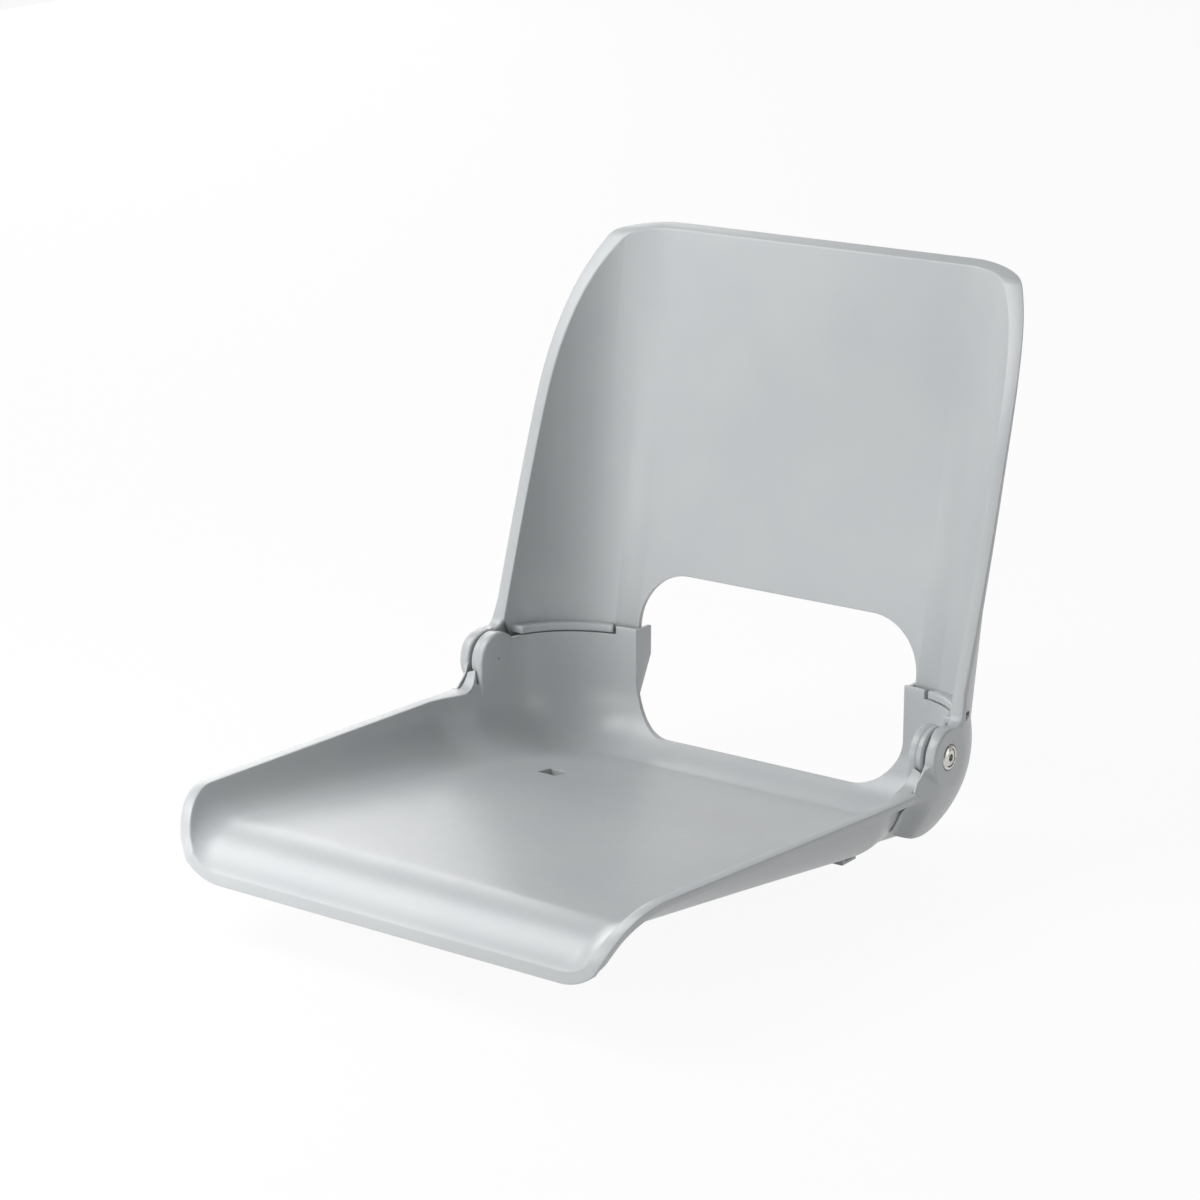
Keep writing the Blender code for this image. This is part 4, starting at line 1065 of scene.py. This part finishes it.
# %% [markdown]
# ## The backrest: window and tongues
# The window of the backrest meets that of the seat, so that together they make one opening. A
# tongue on each leg rests in the notch of the upright and takes the sitter's weight. The tongue is
# a curved plate that follows the corner, with its upper side leaned as the uprights are.

# %% Window and tongues of the backrest
OPENING_HALF, OPENING_TOP, OPENING_ROUND = 120.7, 57.0, 41.0
OPENING_FOOT = -120.0
BOSS_ROOM = 30.0
TONGUE_LOW, TONGUE_HIGH = 14.1, 20.2

opening = rounded([(-OPENING_HALF, OPENING_FOOT), (OPENING_HALF, OPENING_FOOT),
                   (OPENING_HALF, OPENING_TOP), (-OPENING_HALF, OPENING_TOP)],
                  [0.0, 0.0, OPENING_ROUND, OPENING_ROUND], 24)
back = fitted(back, plate(opening, -180.0, -45.0, FROM_FRONT), "DIFFERENCE", tangled=True)
room = EAR_INNER + 0.57
clear_of_boss = turned([(0.0, -room), (BOSS_ROOM, -room), (BOSS_ROOM, room), (0.0, room)])
back = fitted(back, clear_of_boss, "DIFFERENCE")
leg_centre = (WING_HALF - WING_ROUND, LEG_BACK - WING_ROUND)
tongue_plan = arc(corner, CORNER_ROUND - 0.7, 4.5, 74.0, 32)
tongue_plan += arc(leg_centre, WING_ROUND + 1.7, 74.0, 3.0, 32)
tongue = plate(tongue_plan, TONGUE_LOW, TONGUE_HIGH, FROM_ABOVE, 1.7)
bmesh.ops.transform(tongue, matrix=TOP_LEAN, verts=tongue.verts)
back = fitted_pair(back, tongue, "UNION")
print("window and tongues,", len(back.faces), "faces")

# %% [markdown]
# ## The backrest: heels
# Below each ear the leg ends in a heel, a shallow dome about the hinge that wraps round the seat's
# corner. It has to clear the seat while it turns, so it is a spun disc whose two faces are pushed
# to rules: domed outside, stepped in front of the ear, and close to the skirt of the seat at the
# toe. A trim by the side view gives it its outline.

# %% Heels
DOME_INNER, DOME_OUTER = 18.0, 60.0
DOME_DROP = 19.5
DOME_STEPS = 30
EAR_STEP = 6.6
SKIRT_GAP = 1.6


def skirt_face(y, z):
    """Outer face of the seat's side wall."""
    radius = hollow(y)
    below = max(0.0, pan_level(y) + radius - z)
    return half_width(y) - radius + math.sqrt(max(0.0, (radius + WALL) ** 2 - below ** 2))


def heel_face(y, z):
    """Outer face of a heel."""
    radius = math.hypot(y, z)
    turn = math.degrees(math.atan2(z, y)) % 360.0
    out = max(0.0, (radius - DOME_INNER) / (DOME_OUTER - DOME_INNER))
    face = EAR_OUTER + 0.05 - DOME_DROP * out ** 1.8
    # A trough round the ear, deep in front of it and gone below it.
    front = ease((250.0 - turn) / 55.0) if turn > 150.0 else 0.0
    face -= EAR_STEP * front * ease((radius - 17.0) / 6.0) * (1.0 - ease((radius - 28.0) / 16.0))
    # The toe, low and in front, lies on the skirt.
    near_toe = ease((-z - 22.0) / 14.0) * ease((-y - 16.0) / 16.0)
    least = skirt_face(y, z) + SKIRT_GAP
    face = blend(face, least, near_toe)
    return max(face, least) if y < 10.0 else face


def heel_inside(y, z):
    """Inner face of a heel, always behind the outer one and clear of the skirt."""
    inside = min(EAR_INNER + 0.3, max(EAR_INNER - 0.2, heel_face(y, z) - 2.0))
    inside = blend(inside, EAR_INNER - 4.5, ease((-z - 26.0) / 6.0))
    inside = min(inside, heel_face(y, z) - 0.9)
    return max(inside, skirt_face(y, z) + HEEL_GAP) if y < 10.0 else inside


dome_radii = [blend(DOME_INNER, DOME_OUTER, n / DOME_STEPS) for n in range(DOME_STEPS + 1)]
dome_profile = [(r, EAR_INNER) for r in dome_radii] + [(r, EAR_OUTER) for r in reversed(dome_radii)]
dome = turned(dome_profile, 144)
# Turned a little, so that its facets do not lie in those of the ear.
bmesh.ops.rotate(dome, matrix=Matrix.Rotation(0.02, 3, "X"), verts=dome.verts)
for vertex in dome.verts:
    outside = vertex.co.x > (EAR_INNER + EAR_OUTER) / 2.0
    vertex.co.x = (heel_face if outside else heel_inside)(vertex.co.y, vertex.co.z)
heel_trim = plate(heel_view(EAR_ROUND - 1.0, 0.0), 150.0, EAR_OUTER + 8.0, ALONG_HINGE)
heel = fitted(dome, heel_trim, "INTERSECT")
back = fitted_pair(back, heel, "UNION")
print("heels joined,", len(back.faces), "faces")

# %% [markdown]
# ## The backrest: line of the ears
# The bead of the front edge runs down into a round ear about the hinge screw, with a hollow neck
# between them. The neck is an arc that touches both the ear's circle and the line of the edge, so
# its centre follows from the two radii, and no corner is left to be smoothed.

# %% Line of the ears
NECK_ROUND = 10.0
EAR_TOP = 78.0
LINE_GAP = 0.25

edge_turn = math.pi / 2.0 - EDGE_LEAN
along = heading(edge_turn)
ahead = Vector((-math.sin(edge_turn), math.cos(edge_turn)))
neck_foot = ahead * (NECK_ROUND - EDGE_OFFSET + LINE_GAP)
neck_reach = EAR_ROUND + NECK_ROUND
neck_centre = neck_foot + along * math.sqrt(neck_reach ** 2 - neck_foot.length_squared)
touch = -neck_centre * NECK_ROUND / neck_reach
neck_turn = touch.angle(-ahead)
ear_line = []
for reach in spaced(EAR_TOP, neck_centre.dot(along) + 1.5, 12):
    sink = ease((reach - 40.0) / 36.0)
    ear_line.append(along * reach - ahead * (EDGE_OFFSET - LINE_GAP + sink))
for n in range(15):
    ear_line.append(neck_centre + Matrix.Rotation(neck_turn * (1.0 - n / 14), 2) @ touch)
ear_start = math.degrees(math.atan2(neck_centre.y, neck_centre.x))
ear_line += [Vector(p) for p in arc((0.0, 0.0), EAR_ROUND, ear_start, 382.0, 84)[1:]]
for reach in spaced(16.0, EAR_TOP - 5.0, 12):
    ear_line.append(along * reach - ahead * (EDGE_OFFSET + 4.4))
print("ear line of", len(ear_line), "points, neck at", tuple(neck_centre))

# %% [markdown]
# ## The backrest: ears
# The ear is a plate along that line. Towards the top it moves inwards, so that it flows into the
# bead instead of standing beside it. A plate has no points in between to move, so it is first cut
# across every three millimetres. Last comes the stepped bore for bush, screw and cup washer.

# %% Ears and the finished backrest
BEND_START, BEND_END, BEND_STEP = 12, 54, 3
EAR_IN, EAR_OUT = 3.55, 3.0
EAR_EDGE = 1.9
BUSH_ROUND, CUP_ROUND, BORE_MOUTH = 6.8, 9.1, 9.9

ear = plate([tuple(p) for p in ear_line], EAR_INNER, EAR_OUTER, ALONG_HINGE, EAR_EDGE)
for level in range(BEND_START, BEND_END, BEND_STEP):
    bmesh.ops.bisect_plane(ear, geom=ear.verts[:] + ear.edges[:] + ear.faces[:],
                           plane_co=(0.0, 0.0, level), plane_no=(0.0, 0.0, 1.0))
for vertex in ear.verts:
    rise = vertex.co.z - BEND_START
    if vertex.co.x < (EAR_INNER + EAR_OUTER) / 2.0:
        vertex.co.x -= EAR_IN * ease(rise / 14.0)
    else:
        vertex.co.x -= EAR_OUT * ease(rise / 36.0)
back = fitted_pair(back, ear, "UNION")
bore = turned([(0.0, EAR_INNER - 6.0), (BUSH_ROUND, EAR_INNER - 6.0), (BUSH_ROUND, EAR_OUTER - 2.0),
               (CUP_ROUND, EAR_OUTER - 2.0), (CUP_ROUND, EAR_OUTER - 0.4),
               (BORE_MOUTH, EAR_OUTER + 0.4), (BORE_MOUTH, EAR_OUTER + 4.0),
               (0.0, EAR_OUTER + 4.0)])
back = fitted_pair(back, bore, "DIFFERENCE")
finished(back, "backrest_moulding", "backrest", "backrest_shell", grey)

# %% [markdown]
# ## Hinge screws and cup washers
# Each hinge is held by a socket screw whose low domed head sits in a cup washer. Both come off a
# lathe, so each is a profile spun about the hinge axis, and the socket is a six-sided cut. The
# screw stays with the seat while the ear turns round it.

# %% Screws and cup washers
CUP = [(4.2, 201.9), (6.5, 203.3), (6.5, 204.2), (6.7, 204.5), (7.1, 204.65), (7.6, 204.55),
       (8.1, 204.25), (8.5, 203.8), (8.75, 203.3), (8.75, 201.9)]
SCREW = [(0.0, 184.9), (3.5, 184.9), (4.0, 185.4), (4.0, 201.9), (6.3, 203.45), (6.3, 203.6),
         (6.0, 203.9), (5.2, 204.25), (4.2, 204.5), (3.2, 204.6), (0.0, 204.65)]
KEY_ROUND, KEY_FLOOR = 2.9, 202.4

for side in ("right", "left"):
    cup = turned(CUP)
    key = plate(arc((0.0, 0.0), KEY_ROUND, 15.0, 315.0, 5), KEY_FLOOR, 206.0, ALONG_HINGE)
    screw = fitted(turned(SCREW), key, "DIFFERENCE")
    if side == "left":
        cup = other_side(cup)
        screw = other_side(screw)
    finished(cup, "cup_washer_" + side, "seat", "hinge_cup_washer_" + side, steel)
    finished(screw, "socket_screw_" + side, "seat", "hinge_screw_" + side, steel)
